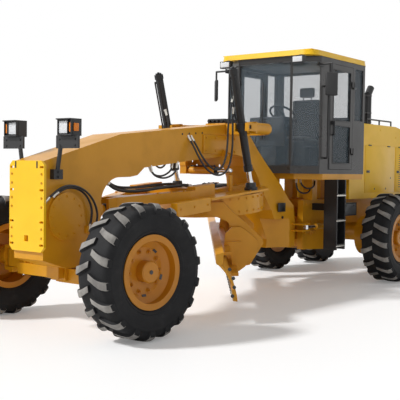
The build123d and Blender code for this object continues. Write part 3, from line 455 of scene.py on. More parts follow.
# each hose: the body it rides, its diameter and the points it is led past
hoses = {
    "noseHoseInner": ("front_frame", 0.024, (
        (4.2, 0.24, 1.4), (4.13, 0.268, 1.455), (4.03, 0.27, 1.478), (3.9, 0.27, 1.462),
        (3.78, 0.272, 1.385), (3.71, 0.272, 1.26), (3.7, 0.258, 1.14), (3.71, 0.236, 1.04))),
    "noseHoseOuter": ("front_frame", 0.024, (
        (4.31, 0.238, 1.345), (4.25, 0.285, 1.43), (4.12, 0.302, 1.498), (3.95, 0.305, 1.492),
        (3.78, 0.305, 1.41), (3.67, 0.3, 1.27), (3.63, 0.28, 1.13), (3.64, 0.238, 1.02))),
    "beamLoopLeft": ("front_frame", 0.022, (
        (2.7, 0.205, 1.69), (2.68, 0.205, 1.63), (2.6, 0.205, 1.585), (2.46, 0.205, 1.565),
        (2.32, 0.205, 1.6), (2.24, 0.205, 1.66), (2.23, 0.205, 1.74))),
    "beamLoopRight": ("front_frame", 0.022, (
        (2.66, 0.15, 1.69), (2.63, 0.15, 1.64), (2.56, 0.15, 1.6), (2.44, 0.15, 1.59), (2.32, 0.15, 1.63),
        (2.26, 0.15, 1.68), (2.25, 0.15, 1.735))),
    "saddleLoopLeft": ("front_frame", 0.024, (
        (2.04, 0.232, 2.06), (2.03, 0.3, 1.96), (2.0, 0.36, 1.82), (1.92, 0.41, 1.68), (1.77, 0.45, 1.6),
        (1.62, 0.48, 1.63), (1.53, 0.49, 1.75), (1.5, 0.5, 1.95), (1.515, 0.51, 2.15),
        (1.535, 0.52, 2.32), (1.555, 0.545, 2.42))),
    "saddleLoopRight": ("front_frame", 0.024, (
        (1.98, 0.232, 2.06), (1.97, 0.29, 1.98), (1.95, 0.35, 1.86), (1.88, 0.4, 1.74),
        (1.77, 0.43, 1.665), (1.66, 0.45, 1.69), (1.59, 0.46, 1.8), (1.565, 0.47, 1.98),
        (1.575, 0.48, 2.18), (1.59, 0.51, 2.4), (1.578, 0.55, 2.56))),
    "farLoop": ("front_frame", 0.024, (
        (2.04, -0.232, 2.06), (2.03, -0.3, 1.96), (2.0, -0.36, 1.84), (1.92, -0.42, 1.74),
        (1.77, -0.46, 1.68), (1.64, -0.48, 1.72), (1.56, -0.49, 1.84), (1.52, -0.5, 2.02),
        (1.53, -0.51, 2.2), (1.545, -0.52, 2.34), (1.56, -0.545, 2.43))),
    "archHose": ("drawbar", 0.04, (
        (3.33, 0.1, 1.535), (3.23, 0.105, 1.462), (3.1, 0.12, 1.428), (2.95, 0.145, 1.42),
        (2.78, 0.17, 1.428), (2.6, 0.2, 1.452), (2.42, 0.24, 1.47), (2.25, 0.26, 1.48),
        (2.15, 0.27, 1.49), (2.06, 0.27, 1.468))),
    "drawbarHoseA": ("drawbar", 0.022, (
        (3.29, 0.05, 1.555), (3.18, 0.07, 1.475), (3.0, 0.1, 1.462), (2.8, 0.13, 1.47),
        (2.6, 0.15, 1.492), (2.42, 0.14, 1.5), (2.22, 0.12, 1.505), (2.12, 0.1, 1.495),
        (2.03, 0.1, 1.465))),
    "drawbarHoseB": ("drawbar", 0.022, (
        (3.29, 0.0, 1.555), (3.16, 0.02, 1.47), (2.98, 0.05, 1.452), (2.78, 0.07, 1.455),
        (2.58, 0.08, 1.47), (2.4, 0.06, 1.48), (2.2, 0.04, 1.495), (2.12, 0.03, 1.49),
        (2.03, 0.03, 1.465))),
}
for name, (body, diameter, points) in hoses.items():
    makeHose(name, points, body, diameter)
print("hoses laid")

# headlamps: lens, amber side lamp and marker, and a shallow visor frame on each housing
headlamp = {
    "front": 4.22, "low": 1.995, "high": 2.165, "inner": 0.31, "outer": 0.51,
    "lens": (0.322, 0.45, -0.002, 0.012, 0.022, 0.008),  # sides, back, front, margin and rounding
    "amber": (0.466, 0.5, -0.002, 0.01, 0.035, 0.006), "marker": (0.508, 0.522, -0.075, -0.01, 0.045, 0.006),
    "bars": (0.31, 0.452, 0.5),
    "plateBolts": ((4.2, 0.3, 1.9), (4.2, 0.52, 1.9), (4.2, 0.3, 1.96), (4.2, 0.52, 1.96)),
    "footBolts": ((4.19, 0.28, 1.635), (4.19, 0.28, 1.585)),
}
lensBm, amberBm, visorBm = bmesh.new(), bmesh.new(), bmesh.new()
for way in ways:
    x, low, high = headlamp["front"], headlamp["low"], headlamp["high"]
    inner, outer = way * headlamp["inner"], way * headlamp["outer"]
    for bm, glass in ((lensBm, "lens"), (amberBm, "amber"), (amberBm, "marker")):
        a, b, back, front, margin, edge = headlamp[glass]
        addBox(bm, (x + back, way * a, low + margin), (x + front, way * b, high - margin), edge=edge)
    addBox(visorBm, (x - 0.01, inner, high - 0.012), (x + 0.045, outer, high), edge=0.004)
    addBox(visorBm, (x - 0.01, inner, low), (x + 0.022, outer, low + 0.014), edge=0.004)
    for y in headlamp["bars"]:
        foot = (x - 0.01, way * y, low + 0.008)
        addBox(visorBm, foot, (x + 0.024, way * (y + 0.01), high - 0.008), edge=0.004)
    for x, y, z in headlamp["plateBolts"]:
        addBolt(visorBm, (x, way * y, z), (1, 0, 0), 0.008, 0.008)
    for x, y, z in headlamp["footBolts"]:
        addBolt(visorBm, (x, way * y, z), (0, way, 0), 0.011, 0.012)
makePiece("headlampLenses", lensBm, "lamp_black", "front_frame", ("lampLens",))
makePiece("sideLampLenses", amberBm, "lamp_black", "front_frame", ("amberLens",))
makePiece("headlampVisors", visorBm, "lamp_black", "front_frame")

# nose and beam: bolt circle of the boss, bolted covers, and the holes and the slots of the front plate as
# black discs and boxes of painted shade
nose = {
    "boss": (4.04, 1.18), "bossFace": 0.25, "bossRadius": 0.205, "bossBolts": 12,
    "holes": ((2.15, 2.1), (2.02, 2.11), (1.89, 2.12), (1.76, 2.13)),
    "coverBolts": ((1.09, 1.3, 1.5, 1.7), (1.915, 2.075)),
    "sideCover": ((1.05, 0.215, 1.875), (1.75, 0.24, 2.115)),
    "lowCover": ((3.6, 0.215, 0.99), (3.76, 0.245, 1.07)),
    "seamMarks": (1.563, 1.305, 1.046, 0.9), "plateFront": 4.365, "plateSlots": (-0.167, 0.157),
    "plateBolts": ((-0.225, 0.225), (0.97, 1.06, 1.28, 1.37, 1.52, 1.61)),
    "topCover": ((0.8, -0.16, 2.24), (1.2, 0.16, 2.285)),
}
boltBm, blackAndShadeBm, coverBm = bmesh.new(), bmesh.new(), bmesh.new()
for way in ways:
    for x, z in ringSpots(nose["bossBolts"], nose["bossRadius"]):
        at = (nose["boss"][0] + x, way * nose["bossFace"], nose["boss"][1] + z)
        addBolt(boltBm, at, (0, way, 0), 0.011, 0.012)
    # each hole is a black disc: painted shade where the hole would be
    for x, z in nose["holes"]:
        addRod(blackAndShadeBm, (x, way * 0.219, z), (x, way * 0.2215, z), 0.013, 16)
    for x in nose["coverBolts"][0]:
        for z in nose["coverBolts"][1]:
            addBolt(boltBm, (x, way * 0.24, z), (0, way, 0), 0.014, 0.014)
    addBox(coverBm, *onSide(way, nose["sideCover"]), edge=0.012)
    addBox(coverBm, *onSide(way, nose["lowCover"]), edge=0.008)
    for z in nose["seamMarks"]:
        addBox(blackAndShadeBm, (4.3, way * 0.2195, z - 0.03), (4.315, way * 0.2215, z + 0.03))
front = nose["plateFront"]
# each slot of the front plate is a black box: painted shade
for y in nose["plateSlots"]:
    addBox(blackAndShadeBm, (front - 0.002, y - 0.01, 1.668), (front + 0.0015, y + 0.01, 1.738))
for y in nose["plateBolts"][0]:
    for z in nose["plateBolts"][1]:
        addBolt(boltBm, (front, y, z), (1, 0, 0), 0.009, 0.009)
addBox(coverBm, *nose["topCover"], edge=0.008)
makePiece("noseBolts", boltBm, "yellow_paint", "front_frame")
makePiece("seamsAndPaintedShade", blackAndShadeBm, "black_metal", "front_frame")
makePiece("beamCovers", coverBm, "yellow_paint", "front_frame")

# valve block on top of the beam, with four pipe ends
beamValve = {"block": ((0.84, -0.14, 2.283), (1.18, 0.14, 2.345)), "ports": (-0.1, -0.03, 0.04, 0.11)}
bm = bmesh.new()
addBox(bm, *beamValve["block"], edge=0.01)
for y in beamValve["ports"]:
    addRod(bm, (1.17, y, 2.315), (1.215, y, 2.315), 0.018, 6)
makePiece("beamValve", bm, "black_metal", "front_frame")
print("front frame dressed")

# circle: two rows of bolts round its drum
drum = {"bolts": 36, "radius": 0.69, "rows": (-0.045, -0.205)}
bm = bmesh.new()
for x, y in ringSpots(drum["bolts"], 1):
    way = Vector((x, y, 0))
    for row in drum["rows"]:
        addBolt(bm, way * drum["radius"] + Vector((0, 0, row)), way, 0.012, 0.014, place=circleFrame)
makePiece("drumBolts", bm, "yellow_paint", "circle")

# ball housings under the lift rods, each with four bolts
ballHousing = {
    "ball": (1.23, 0.6, 1.485), "boltCircle": 0.074, "boltFoot": -0.034,
    "profile": ((0.0, -0.062), (0.085, -0.062), (0.085, -0.035), (0.068, -0.02), (0.066, 0.018),
                (0.06, 0.034), (0.0, 0.034)),
}
bm = bmesh.new()
for way in ways:
    x, y, z = ballHousing["ball"]
    local = drawbarFrame.inverted() @ Vector((x, way * y, z))
    cup = turnedShape(ballHousing["profile"], 28)
    stamp(bm, asMesh(cup), [drawbarFrame @ Matrix.Translation(local)])
    for x, y in ringSpots(4, ballHousing["boltCircle"], pi / 4):
        at = local + Vector((x, y, ballHousing["boltFoot"]))
        addBolt(bm, at, (0, 0, 1), 0.009, 0.012, place=drawbarFrame)
makePiece("ballHousings", bm, "black_metal", "drawbar")

# drawbar: bolts along its arms, on its valve box and round its ring
drawbarBolts = {
    "arm": (-0.55, -0.7, -0.85, -1.0), "armTop": 0.13, "armFrom": (0.09, 0.1), "armSlope": 0.4 / 0.81,
    "armLimit": 0.47, "box": (-0.5, -0.75, -1.0), "ringRadius": 0.66, "ringTop": 0.034, "ringStep": 16,
}
bm = bmesh.new()
for x in drawbarBolts["arm"]:
    spread = drawbarBolts["armFrom"][1] + drawbarBolts["armSlope"] * (-x - drawbarBolts["armFrom"][0])
    for way in ways:
        at = (x, way * min(drawbarBolts["armLimit"], spread), drawbarBolts["armTop"])
        addBolt(bm, at, (0, 0, 1), 0.013, 0.013, place=drawbarFrame)
for x in drawbarBolts["box"]:
    addBolt(bm, (x, 0.7, -0.03), (0, 1, 0), 0.011, 0.012, place=drawbarFrame)
for degree in range(8, 360, drawbarBolts["ringStep"]):
    x, y = (drawbarBolts["ringRadius"] * f(radians(degree)) for f in (cos, sin))
    spot = Vector((-circleReach + x, y, drawbarBolts["ringTop"]))
    addBolt(bm, spot, (0, 0, 1), 0.01, 0.011, place=drawbarFrame)
makePiece("drawbarBolts", bm, "yellow_paint", "drawbar")

# turn gear: a flat case with a bolted cap over the middle of the circle
turnGear = {
    "case": ((-0.17, -0.16, 0.03), (0.17, 0.16, 0.1)), "cap": ((0, 0, 0.09), (0, 0, 0.112)),
    "capRadius": 0.1, "boltCircle": 0.085,
}
bm = bmesh.new()
low, high = ((x - circleReach, y, z) for x, y, z in turnGear["case"])
addBox(bm, low, high, drawbarFrame, 0.01)
low, high = ((x - circleReach, y, z) for x, y, z in turnGear["cap"])
addRod(bm, low, high, turnGear["capRadius"], 28, place=drawbarFrame)
for x, y in ringSpots(8, turnGear["boltCircle"]):
    addBolt(bm, (-circleReach + x, y, high[2]), (0, 0, 1), 0.009, 0.008, place=drawbarFrame)
makePiece("turnGear", bm, "black_metal", "drawbar")
print("drawbar dressed")

# blade: the cutting edge, its two rows of bolts and the bolts on both ends
blade = {
    "from": -1.73, "to": 1.93, "boltStart": 0.06, "boltStep": 0.152,
    "edge": ((-0.1635, -1.0125), (-0.151, -0.89), (-0.1445, -0.8895), (-0.1575, -1.0135)),
    "rows": ((-0.925, -0.1475), (-0.975, -0.153)),
    "endBolts": ((-0.155, -0.955), (-0.178, -0.86), (-0.172, -0.76), (-0.135, -0.66)),
}
acrossBlade = circleFrame @ Matrix(((0, 0, 1, 0), (-1, 0, 0, 0), (0, 1, 0, 0), (0, 0, 0, 1)))
bm = bmesh.new()
edgePlace = acrossBlade @ Matrix.Translation((0, 0, blade["from"]))
addPlate(bm, blade["edge"], blade["to"] - blade["from"], edgePlace)
makePiece("cuttingEdge", bm, "rod_chrome", "moldboard", ("paleEdge",))
bm = bmesh.new()
s = blade["from"] + blade["boltStart"]
while s < blade["to"]:
    for w, n in blade["rows"]:
        addRod(bm, (n, w, s), (n + 0.008, w + 0.0005, s), 0.013, 12, place=acrossBlade)
    s += blade["boltStep"]
makePiece("edgeBolts", bm, "black_steel", "moldboard")
bm = bmesh.new()
for s, way in ((blade["from"], -1), (blade["to"], 1)):
    for n, w in blade["endBolts"]:
        addBolt(bm, (n, w, s), (0, 0, way), 0.014, 0.014, place=acrossBlade)
makePiece("endBolts", bm, "black_steel", "moldboard")
print("blade dressed")

# lift cylinders: an end cap and two pipes each, given by their turn round the barrel and the drop
# of both ends below the top
cylinder = {
    "foot": Vector((1.23, 0, 1.485)), "head": Vector((1.65, 0, 2.91)), "radius": 0.05, "side": 0.6,
    "pipes": ((0.9, 0.1, 0.84), (-0.9, 0.1, 0.62)), "pipeGap": 0.014,
    "cap": ((-0.002, 0.018, 0.04, 24), (0.016, 0.03, 0.016, 6)),
}
lean = (cylinder["head"] - cylinder["foot"]).normalized()
outOf = Vector((lean.z, 0, -lean.x))
for side, way in sides:
    top = cylinder["head"] + Vector((0, way * cylinder["side"], 0))
    bm = bmesh.new()
    for turn, fromTop, toTop in cylinder["pipes"]:
        around = outOf * cos(turn) + Vector((0, 1, 0)) * sin(turn) * way
        offset = around * (cylinder["radius"] + cylinder["pipeGap"])
        start, end = (top - lean * down + offset for down in (fromTop, toTop))
        addRod(bm, start, end, 0.01, 12)
        for at in (start, end):
            addRod(bm, at - offset * 0.6, at + offset * 0.12, 0.015, 6)
    for low, high, radius, count in cylinder["cap"]:
        addRod(bm, top + lean * low, top + lean * high, radius, count)
    makePiece(f"liftPipes_{side}", bm, "black_metal", f"lift_barrel_{side}")

# swing cylinder: its pipe and the ring at its mouth
swing = {
    "pipe": ((1.44, -0.2, 1.722), (1.44, 0.19, 1.722)), "ends": (-0.19, 0.18),
    "ring": ((1.44, 0.205, 1.665), (1.44, 0.222, 1.665)),
}
bm = bmesh.new()
addRod(bm, *swing["pipe"], 0.009, 12)
for y in swing["ends"]:
    addRod(bm, (1.44, y, 1.705), (1.44, y, 1.735), 0.014, 6)
addRod(bm, *swing["ring"], 0.053, 28)
makePiece("swingPipe", bm, "black_metal", "swing_barrel")
print("cylinders dressed")

# hitch: the square cover with two round plugs on the front frame
hitchCover = {"plugs": ((0.05, 1.15), (0.05, 1.02)), "lid": ((-0.02, 0.343, 1.1), (0.17, 0.352, 1.225))}
bm = bmesh.new()
for x, z in hitchCover["plugs"]:
    addRod(bm, (x, 0.345, z), (x, 0.352, z), 0.02, 16)
addBox(bm, *hitchCover["lid"], edge=0.003)
makePiece("hitchCover", bm, "black_metal", "front_frame")

# lock bar with its ring in two holders, and the bolts of the rear frame's side
lockBar = {
    "bar": ((-0.86, 0.352, 0.78), (-0.56, 0.352, 0.78)), "holders": (-0.85, -0.57),
    "ringAt": (-0.71, 0.372, 0.76), "ringRadius": 0.03, "ringWire": 0.007,
    "bolts": ((-0.62, -0.74, -0.92, -1.05, -1.2), (1.185, 0.93)),
}
bm = bmesh.new()
addRod(bm, *lockBar["bar"], 0.016, 16)
for x in lockBar["holders"]:
    addBox(bm, (x - 0.02, 0.338, 0.755), (x + 0.02, 0.362, 0.805), edge=0.004)
wire = [(lockBar["ringRadius"] + r, h) for r, h in ringSpots(8, lockBar["ringWire"])]
ringShape = turnedShape(wire, 20, True)
stamp(bm, asMesh(ringShape), [Matrix.Translation(lockBar["ringAt"]) @ Matrix.Rotation(pi / 2, 4, "X")])
for x in lockBar["bolts"][0]:
    for z in lockBar["bolts"][1]:
        for way in ways:
            addBolt(bm, (x, way * 0.34, z), (0, way, 0), 0.014, 0.014)
makePiece("lockBar", bm, "yellow_paint", "rear_frame")

# hoses below the cab sill: one route, on either side, and once hung lower
for name, side, drop in (("sillHoseLeft", 1, 0.0), ("sillHoseRight", -1, 0.0), ("sillHoseLow", 1, 0.07)):
    makeHose(name, (
        (-0.3, side * (0.42 - drop), 1.555), (-0.28, side * (0.43 - drop), 1.5 - drop),
        (-0.36, side * (0.46 - drop), 1.43 - drop), (-0.5, side * (0.46 - drop), 1.42 - drop),
        (-0.66, side * (0.44 - drop), 1.45 - drop), (-0.74, side * (0.4 - drop), 1.52 - drop * 0.5),
        (-0.76, side * (0.38 - drop), 1.57)), "rear_frame", 0.024)
print("hitch dressed")

# cab: the glasses of its two work lamps
bm = bmesh.new()
for way in ways:
    addBox(bm, (0.157, way * 0.535, 3.163), (0.172, way * 0.685, 3.237), edge=0.006)
makePiece("workLampGlasses", bm, "lamp_black", "rear_frame", ("lampLens",))

# wiper, front seals, grab rails and the trim in front of the doors
cabFittings = {
    "front": 0.04, "wiperAt": (-0.22, 1.72), "wiperTip": (-0.02, 2.52),
    "blade": ((-0.03, 2.12), (-0.006, 2.92)),
    "seals": (1.76, 3.175), "rail": ((-0.3, 0.845, 1.86), (-0.3, 0.845, 2.86)), "railFoot": 0.786,
}
bm = bmesh.new()
x, (y, z) = cabFittings["front"], cabFittings["wiperAt"]
addRod(bm, (x, y, z), (x + 0.035, y, z), 0.022, 16)
addRod(bm, (x + 0.03, y, z), (x + 0.022, *cabFittings["wiperTip"]), 0.007, 8)
low, high = cabFittings["blade"]
addBox(bm, (x + 0.004, *low), (x + 0.02, *high), edge=0.004)
for way in ways:
    for z in cabFittings["seals"]:
        addBox(bm, (x - 0.002, way * 0.425, z), (x + 0.006, way * 0.3, z + 0.012), edge=0.002)
    rail = onSide(way, cabFittings["rail"])
    addRod(bm, *rail, 0.013, 12)
    for end in rail:
        addRod(bm, (end[0], way * cabFittings["railFoot"], end[2]), end, 0.013, 12)
    addBox(bm, (-0.425, way * 0.788, 1.7), (-0.448, way * 0.798, 3.2), edge=0.003)
makePiece("cabFittings", bm, "black_plastic", "rear_frame")

# doors: handle, its lock and the seals round both windows
door = {
    "windows": ((1.79, 2.33), (2.4, 3.12)), "sealEnds": (-1.062, -0.545), "seal": (0.7895, 0.7945),
    "handle": (((-0.545, 0.79, 2.335), (-0.495, 0.812, 2.395), 0.006),
               ((-0.535, 0.812, 2.18), (-0.51, 0.836, 2.39), 0.008),
               ((-0.53, 0.79, 2.185), (-0.512, 0.818, 2.205), 0.003)),
}
for side, way in sides:
    bm = bmesh.new()
    for *corners, edge in door["handle"]:
        addBox(bm, *onSide(way, corners), edge=edge)
    inner, outer = (way * y for y in door["seal"])
    rear, front = door["sealEnds"]
    for low, high in door["windows"]:
        for x in (rear, front):
            addBox(bm, (x - 0.009, inner, low - 0.006), (x + 0.009, outer, high + 0.006), edge=0.002)
        for z in (low, high):
            addBox(bm, (rear, inner, z - 0.008), (front, outer, z + 0.008), edge=0.002)
    makePiece(f"doorFittings_{side}", bm, "black_plastic", f"door_{side}")

# mirrors, turned in towards the driver: shells and the glass on their rear faces
mirrors = {
    "x": -0.132, "y": 0.98, "turn": 50,
    "shell": ((-0.0235, -0.089, 2.71), (0.0235, 0.089, 3.03)),
    "glass": ((-0.0265, -0.072, 2.728), (-0.0215, 0.072, 3.012)),
}
shellBm, glassBm = bmesh.new(), bmesh.new()
for way in ways:
    turned = Matrix.Rotation(radians(way * mirrors["turn"]), 4, "Z")
    place = Matrix.Translation((mirrors["x"], way * mirrors["y"], 0)) @ turned
    addBox(shellBm, *mirrors["shell"], place, 0.02)
    addBox(glassBm, *mirrors["glass"], place, 0.002)
makePiece("mirrorShells", shellBm, "black_plastic", "rear_frame", smoothAngle=50)
makePiece("mirrorGlasses", glassBm, "rod_chrome", "rear_frame")

# roof: a raised panel with four ribs
roof = {
    "panel": ((-1.6, -0.75, 3.34), (0.02, 0.75, 3.352)),
    "ribs": (-0.5, -0.17, 0.17, 0.5), "ribHalf": 0.04,
}
bm = bmesh.new()
addBox(bm, *roof["panel"], edge=0.006)
for y in roof["ribs"]:
    addBox(bm, (-1.5, y - roof["ribHalf"], 3.35), (-0.1, y + roof["ribHalf"], 3.358), edge=0.004)
makePiece("roofPanel", bm, "bright_yellow", "rear_frame")

# inside the cab: side boxes with levers, pedals, headrest and the cowl round the steering post
inside = {
    "levers": (-0.16, -0.21, -0.26, -0.31, -0.36), "pedals": (-0.12, 0.12), "restPosts": (-0.07, 0.07),
    "headrest": ((-1.2, -0.125, 2.8), (-1.125, 0.125, 2.95)),
    "cowlTop": ((-0.4, -0.3, 2.385), (-0.03, 0.3, 2.44)),
    "cowlFront": ((-0.09, -0.3, 2.02), (-0.03, 0.3, 2.41)),
}
bm = bmesh.new()
for way in ways:
    addBox(bm, (-0.42, way * 0.3, 1.668), (-0.1, way * 0.42, 2.1), edge=0.03)
    for x in inside["levers"]:
        addRod(bm, (x, way * 0.36, 2.09), (x - 0.015, way * 0.345, 2.3), 0.007, 10)
        addRod(bm, (x - 0.015, way * 0.345, 2.29), (x - 0.018, way * 0.343, 2.345), 0.015, 14, 0.018)
for y in inside["pedals"]:
    addBox(bm, (-0.02, y - 0.05, 1.675), (-0.005, y + 0.05, 1.86), edge=0.004)
for y in inside["restPosts"]:
    addRod(bm, (-1.165, y, 2.74), (-1.165, y, 2.84), 0.008, 10)
for part, edge in (("headrest", 0.03), ("cowlTop", 0.025), ("cowlFront", 0.02)):
    addBox(bm, *inside[part], edge=edge)
makePiece("cabLevers", bm, "black_plastic", "rear_frame")
print("cab dressed")

# cab lining: floor mat, rear wall panel, headliner and side pads
lining = {
    "mat": ((-1.44, -0.7, 1.668), (-0.2, 0.7, 1.678)),
    "rear": ((-1.476, -0.735, 1.68), (-1.462, 0.735, 2.48)),
    "top": ((-1.46, -0.73, 3.225), (-0.22, 0.73, 3.269)), "pad": (0.735, 0.746),
}
bm = bmesh.new()
for part, edge in (("mat", 0.003), ("rear", 0.004), ("top", 0.008)):
    addBox(bm, *lining[part], edge=edge)
for way in ways:
    low, high = sorted(way * y for y in lining["pad"])
    addBox(bm, (-1.46, low, 1.68), (-1.17, high, 2.4), edge=0.003)
makePiece("cabLining", bm, "black_plastic", "rear_frame")

# seat: a stuffed cushion and back, crowned in the middle, with pressed seams
seat = {
    "seatCushion": ((-1.125, -0.235, 2.045), (-0.685, 0.235, 2.175), 0.028),
    "seatBack": ((-1.215, -0.235, 2.165), (-1.105, 0.235, 2.765), 0.026),
    "cuts": 7, "under": -0.3, "seams": (0.35, 0.62, 0.07), "middleSeam": (0.25, 0.06), "smooth": 0.4,
}


def cushion(name, low, high, swell):
    bm = bmesh.new()
    addBox(bm, low, high, edge=0.03)
    longEdges = [e for e in bm.edges if e.calc_length() > 0.1]
    bmesh.ops.subdivide_edges(bm, edges=longEdges, cuts=seat["cuts"], use_grid_fill=True)
    middle, half = (Vector(low) + Vector(high)) / 2, (Vector(high) - Vector(low)) / 2
    thin = min(range(3), key=lambda axis: half[axis])
    wide = [axis for axis in range(3) if axis != thin]
    deep, at, width = seat["seams"]
    middleDeep, middleWidth = seat["middleSeam"]
    for vert in bm.verts:
        away = vert.co - middle
        u, v = (away[axis] / half[axis] for axis in wide)
        crown = max(0, 1 - u * u) * max(0, 1 - v * v)
        groove = deep * max(0, 1 - abs(abs(u) - at) / width) + middleDeep * max(0, 1 - abs(v) / middleWidth)
        vert.co[thin] += (1 if away[thin] > 0 else seat["under"]) * swell * (crown - groove * 0.5)
    bmesh.ops.smooth_vert(bm, verts=bm.verts, factor=seat["smooth"], use_axis_x=True, use_axis_y=True,
                          use_axis_z=True)
    piece = makePiece(name, bm, "seat_fabric", "rear_frame", smoothAngle=60)
    rounder = piece.modifiers.new("rounder", "SUBSURF")
    rounder.levels = rounder.render_levels = 1


for name in ("seatCushion", "seatBack"):
    cushion(name, *seat[name])
print("seat made")

# hood: doors with latches and hinges, louvres with black strips of painted shade in their gaps, holes as
# black discs of painted shade, bolts, grab rails and the top cover
hood = {
    "side": 0.55, "doors": ((-2.06, -3.16), (-3.2, -4.26)), "low": 1.34, "high": 2.1,
    "latch": (1.66, 1.7), "louvres": 16, "louvreFrom": 1.42, "louvreStep": 0.036,
    "louvreEnds": (-4.14, -3.34),
    "holes": ((-2.41, 1.4, 0.016), (-2.83, 1.4, 0.016), (-1.87, 2.298, 0.024), (-3.01, 1.576, 0.014)),
    "bolts": (-1.7, -1.98, -2.6, -3.2, -3.8), "boltHeights": (2.36, 2.26), "slopeFrom": -3.2,
    "rail": (0.5, 2.52), "railPosts": (-2.2, -2.65, -3.1), "railFoot": 2.436,
    "topCover": ((-3.3, -0.3, 2.438), (-2.7, 0.3, 2.452)),
}
panelBm, blackAndShadeBm, railBm = bmesh.new(), bmesh.new(), bmesh.new()
for way in ways:
    y = way * hood["side"]
    for front, rear in hood["doors"]:
        low, high = hood["low"], hood["high"]
        addBox(panelBm, (rear, y - way * 0.002, low), (front, y + way * 0.006, high), edge=0.003)
        for x in (front - 0.2, rear + 0.2):
            addRod(railBm, (x, y + way * 0.008, high), (x + 0.09, y + way * 0.008, high), 0.009, 12)
        low, high = hood["latch"]
        latch = (front - 0.05, y + way * 0.004, low), (front - 0.16, y + way * 0.012, high)
        addBox(blackAndShadeBm, *latch, edge=0.003)
    rear, front = hood["louvreEnds"]
    for i in range(hood["louvres"]):
        z = hood["louvreFrom"] + i * hood["louvreStep"]
        # a black strip in the gap below each louvre: painted shade
        addBox(blackAndShadeBm, (rear, y + way * 0.0045, z), (front, y + way * 0.007, z + 0.014))
        addBox(panelBm, (rear, y + way * 0.005, z + 0.013), (front, y + way * 0.014, z + 0.021))
    # each hole is a black disc: painted shade
    for x, z, radius in hood["holes"]:
        addRod(blackAndShadeBm, (x, y + way * 0.001, z), (x, y + way * 0.0072, z), radius, 18)
    for x in hood["bolts"]:
        z = hood["boltHeights"][0 if x > hood["slopeFrom"] else 1]
        addBolt(panelBm, (x, y, z), (0, way, 0), 0.01, 0.008)
    railY, railZ = way * hood["rail"][0], hood["rail"][1]
    addRod(railBm, (hood["railPosts"][0], railY, railZ), (hood["railPosts"][-1], railY, railZ), 0.013, 12)
    for x in hood["railPosts"]:
        addRod(railBm, (x, railY, hood["railFoot"]), (x, railY, railZ), 0.013, 12)
addBox(panelBm, *hood["topCover"], edge=0.006)
makePiece("hoodPanels", panelBm, "bright_yellow", "rear_frame")
makePiece("hoodLatchesAndPaintedShade", blackAndShadeBm, "black_metal", "rear_frame")
makePiece("hoodRails", railBm, "black_metal", "rear_frame")

# exhaust: three clamps and the flange at its foot
exhaust = {"x": -2.42, "y": 0.4, "clamps": (2.47, 2.62, 2.9), "high": 0.022, "foot": (2.436, 2.45)}
bm = bmesh.new()
x, y = exhaust["x"], exhaust["y"]
for z in exhaust["clamps"]:
    addRod(bm, (x, y, z), (x, y, z + exhaust["high"]), 0.065, 28)
    addBox(bm, (-2.365, 0.39, z), (-2.34, 0.41, z + exhaust["high"]), edge=0.003)
low, high = exhaust["foot"]
addRod(bm, (x, y, low), (x, y, high), 0.095, 28)
makePiece("exhaustClamps", bm, "black_steel", "rear_frame")

# rear lamps in their cases, and the two tow plates with a thin rod between them
rearLamps = {
    "case": ((-4.545, 0.29, 1.0), (-4.515, 0.44, 1.11)),
    "red": ((-4.553, 0.3, 1.012), (-4.543, 0.362, 1.098)),
    "amber": ((-4.553, 0.368, 1.012), (-4.543, 0.43, 1.098)), "towPlates": (-0.1, 0.1), "towFront": -4.52,
    "rod": ((-4.56, 0, 0.95), (-4.56, 0, 1.1)),
}
redBm, amberBm, caseBm = bmesh.new(), bmesh.new(), bmesh.new()
for way in ways:
    for bm, part, edge in ((caseBm, "case", 0.005), (redBm, "red", 0.003), (amberBm, "amber", 0.003)):
        addBox(bm, *onSide(way, rearLamps[part]), edge=edge)
x = rearLamps["towFront"]
for y in rearLamps["towPlates"]:
    addBox(caseBm, (x - 0.075, y - 0.014, 0.95), (x, y + 0.014, 1.06), edge=0.004)
addRod(caseBm, *rearLamps["rod"], 0.001, 6)
makePiece("rearLampCases", caseBm, "black_metal", "rear_frame")
makePiece("rearLampRed", redBm, "lamp_black", "rear_frame", ("redLens",))
makePiece("rearLampAmber", amberBm, "lamp_black", "rear_frame", ("amberLens",))
print("hood dressed")

# ladders: pale gripping treads, bolts and the lids of the boxes behind them
ladder = {
    "treads": (0.625, 0.985, 1.345), "strips": (-0.735, -0.675, -0.615, -0.555, -0.505), "face": 0.905,
    "bolts": ((-0.745, -0.505), (0.7, 0.85, 1.1, 1.25, 1.45)),
    "lid": ((-1.16, 0.858, 1.05), (-0.79, 0.866, 1.2)), "latches": (-1.09, -0.86),
}
